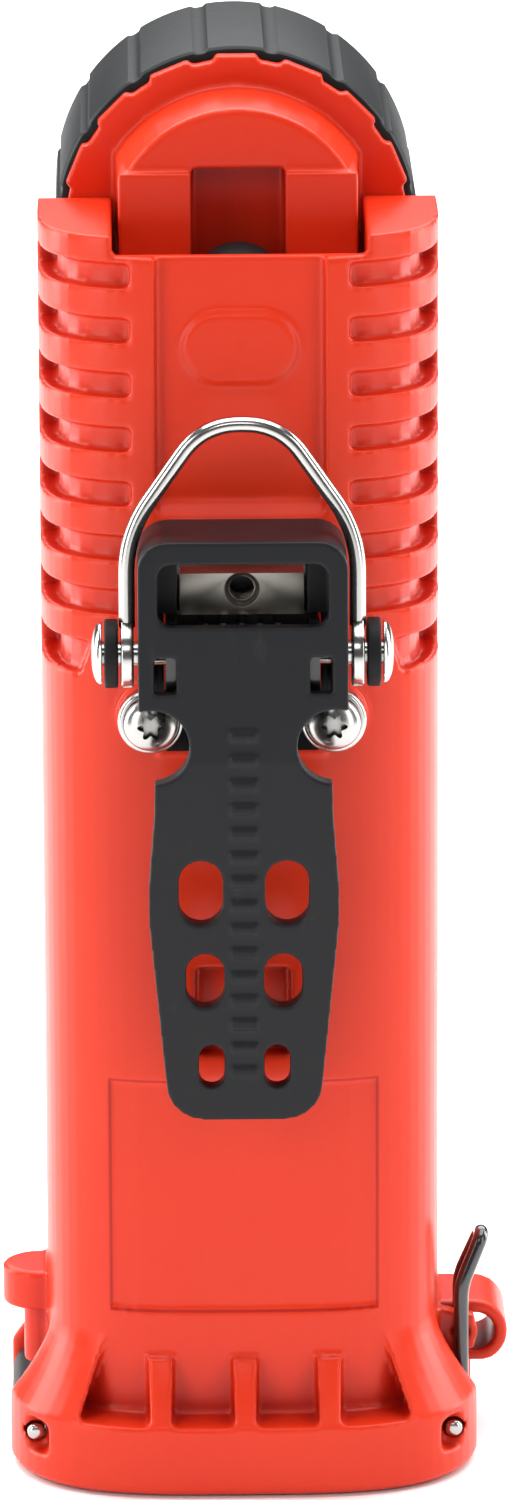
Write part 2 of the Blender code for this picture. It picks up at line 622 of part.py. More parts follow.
def make_body_shell():
    outline = superellipse(TUBE_WIDTH, TUBE_DEPTH, TUBE_SQUARENESS)
    shell = mesh_object("body_shell", prism(outline, "z", FOOT_HEIGHT / 2, EAR_TOP), orange)
    combine(shell, foot_flare(), "UNION")

    # head well: front cut away above the deck, a well between the ears, a lower wall behind it
    cut(shell, "front", box(-FOOT_WIDTH, FOOT_WIDTH, FLANGE_BACK - GAP, FOOT_DEPTH, DECK_TOP, EAR_TOP + REACH))
    well = HOOD_HALF + GAP
    cut(shell, "well", box(-well, well, wallInside, FOOT_DEPTH, DECK_TOP, EAR_TOP + REACH))
    cut(shell, "rim", box(-well, well, tubeBack - REACH, wallInside + OVERLAP, PANEL_TOP, EAR_TOP + REACH))
    ramp = [
        (panelPlane, PANEL_BOTTOM),
        (panelPlane, EAR_TOP + REACH),
        (tubeBack - REACH, EAR_TOP + REACH),
        (tubeBack - REACH, PANEL_BOTTOM - REACH),
        (tubeBack - OVERLAP, PANEL_BOTTOM - 3.5 * MM),
    ]
    cut(shell, "panel", prism(ramp, "x", -PANEL_WIDTH / 2, PANEL_WIDTH / 2))
    combine(shell, grip_cutter(), "DIFFERENCE")
    combine(shell, label_cutter(), "DIFFERENCE")
    cut(shell, "hook", box(-HOOK_WIDTH / 2, HOOK_WIDTH / 2, tubeBack - REACH, tubeBack + HOOK_DEPTH, HOOK_BOTTOM, HOOK_TOP))
    badge = rounded(BADGE_WIDTH, BADGE_WIDTH * 0.62, BADGE_WIDTH * 0.31, (0.0, BADGE_HEIGHT), 9)
    add(shell, "badge", prism(badge, "y", panelPlane - BADGE_RAISE, panelPlane + PANEL_WALL / 2))

    # pad and bosses under the clip's bracket
    pad_low, pad_high = SCREW_HEIGHT - 5 * MM, PANEL_BOTTOM - 4.5 * MM
    add(shell, "pad", box(-BRACKET_HALF - 1 * MM, BRACKET_HALF + 1 * MM, padPlane, tubeBack + 3 * MM, pad_low, pad_high))
    for side in (-1, 1):
        centre = (side * SCREW_SIDE, SCREW_HEIGHT)
        add(shell, f"boss_{side}", prism(circle(CUP_RADIUS, middle=centre), "y", padPlane, tubeBack + 4 * MM))
    for side in (-1, 1):
        centre = (side * SCREW_SIDE, SCREW_HEIGHT)
        hole = prism(circle(SCREW_RADIUS + GAP, 16, centre), "y", padPlane - OVERLAP, padPlane + SCREW_LENGTH + GAP)
        cut(shell, f"boss_{side}", hole)

    # mushroom post on the left, lanyard ring and latch boss on the right
    post = [(POST_RADIUS, tubeFoot + GAP), (POST_RADIUS, POST_TOP - POST_CAP_HEIGHT + GAP)]
    cap = [(POST_CAP_RADIUS, POST_TOP - POST_CAP_HEIGHT), (POST_CAP_RADIUS, POST_TOP)]
    place = (-(tubeSide + 0.7 * MM), 0.0)
    add(shell, "post", turned(post, "z", place, SMALL_ROUND), turned(cap, "z", place, 24))
    ring_start = LATCH_LEG_FAR + WIRE_LATCH / 2 + 0.6 * MM
    ring_middle = (tubeSide + RING_RADIUS + RING_STAND, RING_HEIGHT)
    lug = box(tubeSide - 2 * MM, ring_middle[0], ring_start, ring_start + RING_LENGTH,
              RING_HEIGHT - RING_RADIUS, RING_HEIGHT + RING_RADIUS)
    barrel = prism(circle(RING_RADIUS, 24, ring_middle), "y", ring_start, ring_start + RING_LENGTH)
    add(shell, "lanyard", lug, barrel)
    bore = prism(circle(RING_BORE, SMALL_ROUND, ring_middle), "y", ring_start - OVERLAP, ring_start + RING_LENGTH + OVERLAP)
    latch_middle = (LATCH_LEG_NEAR + LATCH_LEG_FAR) / 2
    latch_half = (LATCH_LEG_FAR - LATCH_LEG_NEAR - WIRE_LATCH) / 2 - GAP
    latch_boss = [
        (tubeSide - 2 * MM, LATCH_PIVOT_HEIGHT - 3.6 * MM),
        (latchOut + 1.6 * MM, LATCH_PIVOT_HEIGHT - 2.2 * MM),
        (latchOut + 2.2 * MM, LATCH_PIVOT_HEIGHT),
        (latchOut + 1.6 * MM, LATCH_PIVOT_HEIGHT + 2.2 * MM),
        (tubeSide - 2 * MM, LATCH_PIVOT_HEIGHT + 3.6 * MM),
    ]
    add(shell, "latch_boss", prism(latch_boss, "y", latch_middle - latch_half, latch_middle + latch_half))

    # door opening, bay, passage to the head, hinge pin hole, latch axle hole, contact recesses
    opening = [
        (max(x, doorLeft - doorGap), y)
        for x, y in superellipse(FOOT_WIDTH - 2 * SKIRT_WALL, FOOT_DEPTH - 2 * SKIRT_DEPTH, FOOT_SQUARENESS)
    ]
    wide = footHalf + REACH
    cut(
        shell, "foot",
        prism(opening, "z", -OVERLAP, tubeFoot),
        box(doorLeft + 4 * MM, wide, -notchHalf, notchHalf, -OVERLAP, tubeFoot),
        box(-wide, doorLeft, -notchHalf, notchHalf, -OVERLAP, tubeFoot),
        prism(superellipse(BAY_WIDTH, BAY_DEPTH, BAY_SQUARENESS, 36), "z", 0.0, bayTop),
        prism(circle(4.2 * MM, SMALL_ROUND, (0.0, STRIP_PLACE)), "z", bayTop - OVERLAP, DECK_TOP + OVERLAP),
        prism(circle(HINGE_PIN_RADIUS + GAP, 20, (hingeSide, HINGE_HEIGHT)), "y",
              -HINGE_PIN_LENGTH / 2 - GAP, HINGE_PIN_LENGTH / 2 + GAP),
    )
    cut(shell, "lanyard", bore)
    axle = circle(LATCH_AXLE + GAP, 16, (latchOut, LATCH_PIVOT_HEIGHT))
    cut(shell, "latch_boss", prism(axle, "y", latch_middle - 2 * latch_half, latch_middle + 2 * latch_half))
    for side in (-1, 1):
        middle = side * CONTACT_SIDE
        window = rounded(CONTACT_WINDOW, CONTACT_WINDOW + 1 * MM, 0.8 * MM, (middle, CONTACT_HEIGHT), 4)
        hole = circle(CONTACT_RADIUS + GAP, 16, (middle, CONTACT_HEIGHT))
        cut(
            shell, f"contact_{side}",
            prism(window, "y", -FOOT_DEPTH, CONTACT_FLOOR),
            prism(hole, "y", CONTACT_FLOOR - OVERLAP, CONTACT_FLOOR + CONTACT_LENGTH),
        )
    for across, along in HEAD_SCREWS:
        hole = circle(HEAD_SCREW_RADIUS + GAP, 16, (across, along))
        cut(shell, f"head_screw_{across:.3f}_{along:.3f}", prism(hole, "z", bayTop - OVERLAP, DECK_TOP + OVERLAP))


def make_head_housing():
    centre = (0.0, HEAD_HEIGHT)
    flange = prism(toothed(FLANGE_RADIUS, TOOTH_DEPTH, TOOTH_SHARE, HEAD_HEIGHT), "y", FLANGE_BACK, flangeFront)
    head = mesh_object("head_housing", flange, orange)
    groove_back, groove_front = ORING_PLACE - ORING_RADIUS - GAP, ORING_PLACE + ORING_RADIUS + GAP
    neck = [(NECK_RADIUS, flangeFront - OVERLAP), (NECK_RADIUS, groove_back), (ORING_FLOOR, groove_back),
            (ORING_FLOOR, groove_front), (NECK_RADIUS, groove_front), (NECK_RADIUS, neckFront)]
    add(head, "neck", turned(neck, "y", centre))
    rings = []
    for half, top, level in ((HOOD_HALF, HOOD_TOP, FLANGE_BACK + OVERLAP), (HOOD_FACE_HALF, HOOD_TOP - 0.45 * MM, HOOD_BACK)):
        rise = top - GUARD_TOP
        radius = (half * half + rise * rise) / (2 * rise)
        spread = math.asin(half / radius)
        arch = circle(radius, 17, (0.0, top - radius), math.pi / 2 - spread, 2 * spread)
        low = HEAD_HEIGHT
        rings.append([placed(p, level, "y") for p in [(-half, low), (half, low)] + arch])
    add(head, "hood", loft(rings))
    low = DECK_TOP + GAP
    guards = box(-GUARD_HALF, GUARD_HALF, HOOD_BACK - GUARD_STEP, FLANGE_BACK + OVERLAP, low, GUARD_TOP)
    deck = box(-GUARD_HALF, GUARD_HALF, wallInside + GAP, HOOD_BACK, low, SWITCH_DECK)
    add(head, "guards", guards, deck)
    cavity = box(-SWITCH_BAY, SWITCH_BAY, wallInside + GAP + wallHole, FLANGE_BACK - 2 * MM,
                 low - OVERLAP, SWITCH_DECK - SWITCH_DECK_THICKNESS)
    bore = [(HEAD_BORE, FLANGE_BACK + 2 * MM), (HEAD_BORE, neckFront + OVERLAP)]
    cut(
        head, "inside",
        cavity,
        turned(bore, "y", centre),
        prism(circle(3 * MM, 16, (0.0, HEAD_HEIGHT - 12.5 * MM)), "y", FLANGE_BACK - 4 * MM, FLANGE_BACK + 4 * MM),
        box(-ALCOVE_HALF, ALCOVE_HALF, HOOD_BACK - REACH, HOOD_BACK + ALCOVE_DEPTH, SWITCH_DECK, ALCOVE_TOP),
        prism(circle(BUTTON_RADIUS + GAP, 32, (0.0, BUTTON_MIDDLE)), "z",
              SWITCH_DECK - SWITCH_DECK_THICKNESS - OVERLAP, SWITCH_DECK + OVERLAP),
    )
    for across, along in HEAD_SCREWS:
        hole = circle(HEAD_SCREW_RADIUS + GAP, 16, (across, along))
        cut(head, f"screw_{across:.3f}_{along:.3f}", prism(hole, "z", low - OVERLAP, low + HEAD_SCREW_BITE + GAP))


# ---------- switch and electronics ----------

def make_switch():
    under = SWITCH_DECK - SWITCH_DECK_THICKNESS - GAP
    stem_end = under - 1.5 * MM - BUTTON_STEM
    profile = [(1.5 * MM, stem_end), (1.5 * MM, under - 1.5 * MM), (BUTTON_FLANGE, under - 1.5 * MM),
               (BUTTON_FLANGE, under), (BUTTON_RADIUS, under), (BUTTON_RADIUS, BUTTON_TOP - BUTTON_DOME)]
    steps = 6
    for step in range(1, steps):
        turn = math.pi / 2 * step / steps
        profile.append((BUTTON_RADIUS * math.cos(turn), BUTTON_TOP - BUTTON_DOME + BUTTON_DOME * math.sin(turn)))
    place = (0.0, BUTTON_MIDDLE)
    button = mesh_object("switch_button", turned(profile, "z", place, 28), rubber)
    on_axis(button, (0.0, BUTTON_MIDDLE, BUTTON_TOP))
    half = SWITCH_BODY / 2
    top = stem_end - BUTTON_TRAVEL - GAP
    body = box(-half, half, BUTTON_MIDDLE - half, BUTTON_MIDDLE + half, top - 5 * MM, top - 0.5 * MM)
    module = mesh_object("switch_module", body, black)
    add(module, "switch_actuator", turned([(1.2 * MM, top - OVERLAP), (1.2 * MM, top)], "z", place, 16))
    board_top = top - 5 * MM - GAP
    wide = SWITCH_BAY - GAP
    mesh_object(
        "switch_board",
        box(-wide, wide, wallInside + wallHole + 3 * GAP, BUTTON_MIDDLE + half + 1 * MM, board_top - BOARD_THICKNESS, board_top),
        boardGreen,
    )
    back = BUTTON_MIDDLE + half + 2 * MM
    mesh_object(
        "control_board",
        box(-wide, wide, back, back + BOARD_THICKNESS, DECK_TOP + 3 * GAP, SWITCH_DECK - SWITCH_DECK_THICKNESS - GAP),
        boardGreen,
    )
    for side, name in ((-1, "contact_strip_negative"), (1, "contact_strip_positive")):
        middle = side * 2.2 * MM
        strip = box(middle - 1.2 * MM, middle + 1.2 * MM, STRIP_PLACE - 0.3 * MM, STRIP_PLACE + 0.3 * MM,
                    contactPlateTop + GAP, board_top - BOARD_THICKNESS - GAP)
        mesh_object(name, strip, brass)


# ---------- optics and face cap ----------

def make_optics():
    centre = (0.0, HEAD_HEIGHT)
    back = FLANGE_BACK + 2 * MM + GAP
    fit = HEAD_BORE - GAP
    sink_front = back + SINK_THICKNESS
    sink = [(fit, back), (fit, back + 1.8 * MM), (12 * MM, back + 1.8 * MM), (12 * MM, sink_front)]
    mesh_object("heat_sink", turned(sink, "y", centre), aluminium)
    board = [(10 * MM, sink_front + GAP), (10 * MM, sink_front + GAP + BOARD_THICKNESS)]
    mesh_object("led_board", turned(board, "y", centre, 36), boardGreen)
    led_back = sink_front + 2 * GAP + BOARD_THICKNESS
    led = [(2.4 * MM, led_back), (2.4 * MM, led_back + 0.7 * MM), (LED_DOME, led_back + 0.7 * MM)]
    for step in range(1, 5):
        turn = math.pi / 2 * step / 5
        led.append((LED_DOME * math.cos(turn), led_back + 0.7 * MM + LED_DOME * math.sin(turn)))
    mesh_object("led_emitter", turned(led, "y", centre, 20), emitter)

    bowl_back, bowl_front = led_back, neckFront - GAP
    inner, outer = [], []
    steps = 7
    for step in range(steps + 1):
        level = bowl_back + (bowl_front - bowl_back) * step / steps
        radius = 3.6 * MM + (fit - REFLECTOR_WALL - 3.6 * MM) * math.sqrt(step / steps)
        inner.append((radius, level))
        outer.append((min(radius + REFLECTOR_WALL * (1.4 if step < 3 else 1.0), fit), level))
    loop = inner + outer[::-1]
    mesh_object("reflector", turned_loop(loop, "y", centre, 32), mirror)

    section = circle(ORING_RADIUS, 8, (ORING_FLOOR + 0.15 * MM + ORING_RADIUS, ORING_PLACE))
    mesh_object("head_o_ring", turned_loop(section, "y", centre, 32), rubber)

    gasket_back = neckFront + GAP
    lens_back = gasket_back + GASKET_THICKNESS + GAP
    lens_front = lens_back + LENS_THICKNESS
    mesh_object("lens_gasket", ring(HEAD_BORE + 0.4 * MM, capBore - 2 * GAP, "y", gasket_back, lens_back - GAP, centre, 40), rubber)
    mesh_object("lens", turned([(capBore - GAP, lens_back), (capBore - GAP, lens_front)], "y", centre), clear)
    rings = []
    for level, less in ((capBack, 0.35), (capBack + 0.5 * MM, 0.0), (CAP_FRONT - 1 * MM, 0.0), (CAP_FRONT, 0.4)):
        rim = toothed(CAP_RADIUS - less * MM, CAP_TOOTH_DEPTH, CAP_TOOTH_SHARE, HEAD_HEIGHT)
        rings.append([placed(p, level, "y") for p in rim])
    cap = mesh_object("face_cap", loft(rings), black)
    mouth = [(CAP_LIP, lens_front), (CAP_LIP, CAP_FRONT - 3 * MM), (CAP_LIP + 3.2 * MM, CAP_FRONT + OVERLAP)]
    cut(
        cap, "cap",
        turned([(capBore, capBack - OVERLAP), (capBore, lens_front + GAP)], "y", centre),
        turned(mouth, "y", centre),
    )
    on_axis(cap, (0.0, capBack, HEAD_HEIGHT))


# ---------- cells, carrier, door and latch ----------

def make_battery():
    rail_out = BAY_WIDTH / 2 - 2 * GAP
    plate_half = BAY_DEPTH / 2 - 2 * GAP
    top_plate = cellTop + GAP
    low_plate = CELL_LOW - SPRING_ROOM - CARRIER_PLATE
    plate = superellipse(2 * rail_out, 2 * plate_half, BAY_SQUARENESS, 36)
    carrier = mesh_object("battery_carrier", prism(plate, "z", low_plate, low_plate + CARRIER_PLATE), black)
    add(carrier, "carrier_top", prism(plate, "z", top_plate, top_plate + CARRIER_PLATE))
    for side in (-1, 1):
        inside, outside = side * (rail_out - CARRIER_RAIL), side * rail_out
        rail = box(min(inside, outside), max(inside, outside), -6 * MM, 6 * MM, low_plate, top_plate + CARRIER_PLATE)
        add(carrier, f"carrier_rail_{side}", rail)
    for side in (-1, 1):
        contact = circle(4 * MM, 20, (side * CELL_SIDE, 0.0))
        cut(carrier, f"carrier_hole_{side}",
            prism(contact, "z", low_plate - OVERLAP, low_plate + CARRIER_PLATE - 0.6 * MM),
            prism(contact, "z", top_plate + 0.6 * MM, top_plate + CARRIER_PLATE + OVERLAP))
    number = 0
    for side in (-1, 1):
        place = (side * CELL_SIDE, 0.0)
        for level in range(2):
            number += 1
            low = CELL_LOW + level * (CELL_LENGTH + GAP)
            high = low + CELL_LENGTH
            body = [(CELL_RADIUS - 0.6 * MM, low), (CELL_RADIUS, low + 0.6 * MM), (CELL_RADIUS, high - CELL_NUB - 0.6 * MM),
                    (CELL_RADIUS - 0.6 * MM, high - CELL_NUB), (CELL_NUB_RADIUS, high - CELL_NUB), (CELL_NUB_RADIUS, high)]
            mesh_object(f"battery_cell_{number}", turned(body, "z", place, 20), cellSleeve)
        name = "cell_spring_left" if side < 0 else "cell_spring_right"
        seat = SPRING_WIRE / 2 + GAP
        wound = coil(3.4 * MM, SPRING_WIRE, low_plate + CARRIER_PLATE + seat, CELL_LOW - seat, 2.5, place)
        mesh_object(name, wound, steel)
    mesh_object("bridge_plate", box(-CELL_SIDE - 3 * MM, CELL_SIDE + 3 * MM, -4 * MM, 4 * MM,
                                    low_plate - GAP - 0.6 * MM, low_plate - GAP), brass)
    mesh_object("upper_contact_plate", box(-9 * MM, 9 * MM, -7 * MM, 7 * MM,
                                           contactPlateTop - 0.8 * MM, contactPlateTop), boardGreen)


def make_door():
    # the two corners beside the hinge stand further in, so that they clear the skirt as they swing down
    plan = [
        (max(x + swingRoom if x < -GAP else x, doorLeft), y)
        for x, y in superellipse(
            FOOT_WIDTH - 2 * SKIRT_WALL - 2 * doorGap, FOOT_DEPTH - 2 * SKIRT_DEPTH - 2 * doorGap, FOOT_SQUARENESS
        )
    ]
    door = mesh_object("battery_door", prism(plan, "z", 0.0, DOOR_THICKNESS), black)
    half = notchHalf - 2 * GAP
    # the edge beside the hinge is hollowed, so that it clears the skirt as the door swings
    swing = math.hypot(doorLeft - doorGap - hingeSide, HINGE_HEIGHT) + GAP
    cut(door, "door_swing", prism(circle(swing, 40, (hingeSide, HINGE_HEIGHT)), "y", -FOOT_DEPTH, FOOT_DEPTH))
    barrel = prism(circle(HINGE_RADIUS, 32, (hingeSide, HINGE_HEIGHT)), "y", -half, half)
    arm = box(hingeSide, doorLeft + 4 * MM, -half, half, HINGE_HEIGHT - HINGE_RADIUS + 0.6 * MM, DOOR_THICKNESS)
    lip = box(lipOut - DOOR_LIP - 3 * MM, lipOut, -half, half, 0.6 * MM, LATCH_FOOT + 3 * MM)
    add(door, "door", arm, barrel, lip)
    well = prism(rounded(BAY_WIDTH - 6 * MM, BAY_DEPTH - 6 * MM, 4 * MM), "z", 4 * MM, DOOR_THICKNESS + OVERLAP)
    bore = prism(circle(HINGE_PIN_RADIUS + GAP, 20, (hingeSide, HINGE_HEIGHT)), "y", -half - OVERLAP, half + OVERLAP)
    cut(door, "door", well, bore)
    on_axis(door, (hingeSide, 0.0, HINGE_HEIGHT))

    inner = superellipse(BAY_WIDTH + 1.0 * MM, BAY_DEPTH + 1.0 * MM, BAY_SQUARENESS, 36)
    outer = superellipse(BAY_WIDTH + 1.0 * MM + 2 * SEAL_WIDTH, BAY_DEPTH + 1.0 * MM + 2 * SEAL_WIDTH, BAY_SQUARENESS, 36)
    high = sealLow + SEAL_THICKNESS
    mesh_object("door_seal", looped([(inner, sealLow), (outer, sealLow), (outer, high), (inner, high)], "z"), rubber)
    pin_half = HINGE_PIN_LENGTH / 2
    pin = turned([(HINGE_PIN_RADIUS, -pin_half), (HINGE_PIN_RADIUS, pin_half)], "y", (hingeSide, HINGE_HEIGHT), 20)
    mesh_object("door_hinge_pin", pin, steel)


def make_latch():
    hook = lipOut + GAP + WIRE_LATCH / 2
    near, far = LATCH_LEG_NEAR, LATCH_LEG_FAR
    pinch = (far - near - WIRE_LATCH) / 2 - 0.35 * MM
    knee = FOOT_HEIGHT + 0.5 * MM
    corners = [
        (hook, near, LATCH_FOOT),
        (latchOut, near, knee),
        (latchOut, near, LATCH_BEND_HEIGHT),
        (latchOut + LATCH_LEAN, near + pinch, LATCH_TOP_HEIGHT),
        (latchOut + LATCH_LEAN, far - pinch, LATCH_TOP_HEIGHT),
        (latchOut, far, LATCH_BEND_HEIGHT),
        (latchOut, far, knee),
        (hook, far, LATCH_FOOT),
    ]
    path = rounded_path(corners, 0.9 * MM, 2, closed=True)
    latch = mesh_object("door_latch", sweep(path, WIRE_LATCH / 2, 8, closed=True), blackWire)
    axle = prism(circle(LATCH_AXLE, 16, (latchOut, LATCH_PIVOT_HEIGHT)), "y", near, far)
    add(latch, "latch_axle", axle)
    on_axis(latch, (latchOut, (near + far) / 2, LATCH_PIVOT_HEIGHT))


def make_contacts():
    for side, name in ((-1, "charge_contact_left"), (1, "charge_contact_right")):
        place = (side * CONTACT_SIDE, CONTACT_HEIGHT)
        front = CONTACT_FLOOR - 0.8 * MM
        stud = [(CONTACT_RADIUS - 0.3 * MM, front), (CONTACT_RADIUS, front + 0.3 * MM),
                (CONTACT_RADIUS, CONTACT_FLOOR + CONTACT_LENGTH - GAP)]
        mesh_object(name, turned(stud, "y", place, 20), steel)


# ---------- clip, D-ring and their bracket ----------

def make_clip():
    width = CLIP_WIDTH
    half = width / 2
    back = CLIP_FACE + CLIP_HEAD_DEPTH
    head_outline = [(-half, CLIP_HEAD_LOW), (half, CLIP_HEAD_LOW)]
    head_outline += circle(CLIP_CORNER, 7, (half - CLIP_CORNER, CLIP_TOP - CLIP_CORNER), 0.0, math.pi / 2)
    head_outline += circle(CLIP_CORNER, 7, (CLIP_CORNER - half, CLIP_TOP - CLIP_CORNER), math.pi / 2, math.pi / 2)
    clip = mesh_object("clip_lever", prism(head_outline, "y", CLIP_FACE, back), black)
    inside_half = half - CLIP_PLATE
    corner = CLIP_CORNER - CLIP_PLATE
    hollow = [(-inside_half, CLIP_HEAD_LOW - REACH), (inside_half, CLIP_HEAD_LOW - REACH)]
    hollow += circle(corner, 5, (inside_half - corner, CLIP_TOP - CLIP_PLATE - corner), 0.0, math.pi / 2)
    hollow += circle(corner, 5, (corner - inside_half, CLIP_TOP - CLIP_PLATE - corner), math.pi / 2, math.pi / 2)
    cut(clip, "clip_inside", prism(hollow, "y", CLIP_FACE + CLIP_PLATE, back + OVERLAP))

    # plate: front outline met by a side profile that slopes to the tip
    edge = [
        (half, CLIP_HEAD_LOW + 2 * MM),
        (half, SCREW_HEIGHT),
        (JAW_SHOULDER / 2, JAW_TOP + 1.2 * MM),
        (JAW_SHOULDER / 2 + 0.1 * MM, JAW_TOP - 3 * MM),
        (JAW_WIDEST / 2, JAW_WIDEST_HEIGHT + 3 * MM),
        (JAW_WIDEST / 2, JAW_WIDEST_HEIGHT - 2 * MM),
    ]
    tip_half = JAW_TIP_WIDTH / 2
    edge += [
        (tip_half - TIP_CORNER + TIP_CORNER * math.cos(turn), CLIP_TIP + TIP_CORNER - TIP_CORNER * math.sin(turn))
        for turn in (math.pi / 2 * step / 5 for step in range(6))
    ]
    outline = edge + [(-x, z) for x, z in reversed(edge)]
    plate = helper("add_clip_plate", prism(outline, "y", CLIP_FACE - REACH, back))
    face_tip = CLIP_FACE + CLIP_TIP_SLOPE
    profile = [
        (CLIP_FACE, CLIP_HEAD_LOW + REACH),
        (CLIP_FACE, JAW_TOP + 4 * MM),
        (CLIP_FACE + 0.8 * MM, JAW_TOP - 4 * MM),
        (face_tip, CLIP_TIP - OVERLAP),
        (face_tip + JAW_PLATE, CLIP_TIP - OVERLAP),
        (CLIP_FACE + 0.8 * MM + JAW_PLATE, JAW_TOP - 4 * MM),
        (CLIP_FACE + JAW_PLATE, JAW_TOP + 4 * MM),
        (CLIP_FACE + JAW_PLATE, CLIP_HEAD_LOW),
        (CLIP_FACE + CLIP_PLATE, CLIP_HEAD_LOW + 3 * MM),
        (CLIP_FACE + CLIP_PLATE, CLIP_HEAD_LOW + REACH),
    ]
    combine(plate, helper("meet_clip_profile", prism(profile, "x", -width, width)), "INTERSECT")
    combine(clip, plate, "UNION")
    tooth = box(-TOOTH_HALF, TOOTH_HALF, face_tip + JAW_PLATE / 2, tubeBack - 1.8 * GAP, HOOK_BOTTOM + 1.5 * MM, HOOK_BOTTOM + 5.5 * MM)
    add(clip, "clip_tooth", tooth)
    through = CLIP_FACE - REACH, CLIP_FACE + CLIP_HEAD_DEPTH
    scallop = CUP_RADIUS + 0.7 * MM
    window = rounded(WINDOW_WIDTH, WINDOW_TOP - WINDOW_LOW, 1.7 * MM, (0.0, (WINDOW_TOP + WINDOW_LOW) / 2), 5)
    holes = [prism(window, "y", through[0], CLIP_FACE + CLIP_PLATE + OVERLAP)]
    for side in (-1, 1):
        holes.append(prism(circle(scallop, 28, (side * SCREW_SIDE, SCREW_HEIGHT)), "y", *through))
        port = rounded(PORT_WIDTH, PORT_HEIGHT, 0.3 * MM, (side * PORT_MIDDLE, PORT_LEVEL), 3)
        holes.append(prism(port, "y", through[0], CLIP_FACE + CLIP_PLATE + OVERLAP))
        for middle, level, slot_width, slot_height in CLIP_SLOTS:
            slot = rounded(slot_width, slot_height, slot_width / 2, (side * middle, level), 6)
            holes.append(prism(slot, "y", through[0], tubeBack - 2 * MM))
    holes.append(prism(circle(PIVOT_RADIUS + GAP, 20, (PIVOT_BACK, PIVOT_HEIGHT)), "x", -width, width))
    cut(clip, "clip", *holes)
    on_axis(clip, (0.0, PIVOT_BACK, PIVOT_HEIGHT))


def make_bracket():
    front = padPlane - GAP
    base = box(-BRACKET_HALF, BRACKET_HALF, front - BRACKET_SHEET, front, SCREW_HEIGHT - 4 * MM, BAR_LOW + BAR_HEIGHT)
    bracket = mesh_object("clip_bracket", base, blackWire)
    for side in (-1, 1):
        inside, outside = side * (BRACKET_HALF - BRACKET_SHEET), side * BRACKET_HALF
        cheek = box(min(inside, outside), max(inside, outside), PIVOT_BACK - 3 * MM, front - BRACKET_SHEET / 2,
                    PIVOT_HEIGHT - 4.5 * MM, PIVOT_HEIGHT + 4.5 * MM)
        tab = prism(rounded(8 * MM, 7.6 * MM, 3.7 * MM, (side * SCREW_SIDE, SCREW_HEIGHT)), "y", front - BRACKET_SHEET, front)
        add(bracket, f"bracket_{side}", cheek, tab)
        hole = circle(SCREW_RADIUS + GAP, 16, (side * SCREW_SIDE, SCREW_HEIGHT))
        cut(bracket, f"bracket_{side}", prism(hole, "y", front - REACH, front + OVERLAP))
    cut(bracket, "bracket_pin", prism(circle(PIVOT_RADIUS + GAP, 20, (PIVOT_BACK, PIVOT_HEIGHT)), "x", -CLIP_WIDTH, CLIP_WIDTH))

    bar = mesh_object("nut_bar", box(-BAR_WIDTH / 2, BAR_WIDTH / 2, BAR_FACE, front - BRACKET_SHEET - GAP,
                                     BAR_LOW, BAR_LOW + BAR_HEIGHT), steel)
    tapped = [(BAR_HOLE + 0.6 * MM, BAR_FACE - 0.1 * MM), (BAR_HOLE, BAR_FACE + 0.6 * MM), (BAR_HOLE, front)]
    cut(bar, "bar_hole", turned(tapped, "y", (0.0, BAR_LOW + BAR_HOLE_RISE * BAR_HEIGHT), 24))

    for side, word in ((-1, "left"), (1, "right")):
        place = (side * SCREW_SIDE, SCREW_HEIGHT)
        cup_front = front - BRACKET_SHEET - GAP - CUP_HEIGHT
        cup = [(SCREW_RADIUS + GAP, cup_front + 0.3 * MM), (SCREW_RADIUS + GAP, cup_front + CUP_HEIGHT),
               (CUP_RADIUS, cup_front + CUP_HEIGHT), (CUP_RADIUS, cup_front + 0.5 * MM), (CUP_RADIUS - 0.5 * MM, cup_front)]
        mesh_object(f"screw_cup_{word}", turned_loop(cup, "y", place, 22), steel)
        under = cup_front - GAP
        top = under - SCREW_HEAD_HEIGHT
        head = [(1.0 * MM, top), (2.2 * MM, top + 0.35 * MM), (SCREW_HEAD - 0.3 * MM, top + 1.2 * MM), (SCREW_HEAD, top + 1.8 * MM),
                (SCREW_HEAD, under), (SCREW_RADIUS, under), (SCREW_RADIUS, padPlane + SCREW_LENGTH)]
        screw = mesh_object(f"bracket_screw_{word}", turned(head, "y", place, 22), steel)
        lobes = []
        for step in range(18):
            turn = 2 * math.pi * step / 18
            reach = 1.35 * MM + 0.35 * MM * math.cos(6 * turn)
            lobes.append((place[0] + reach * math.cos(turn), place[1] + reach * math.sin(turn)))
        cut(screw, f"screw_recess_{word}", prism(lobes, "y", top - OVERLAP, top + 1.3 * MM))


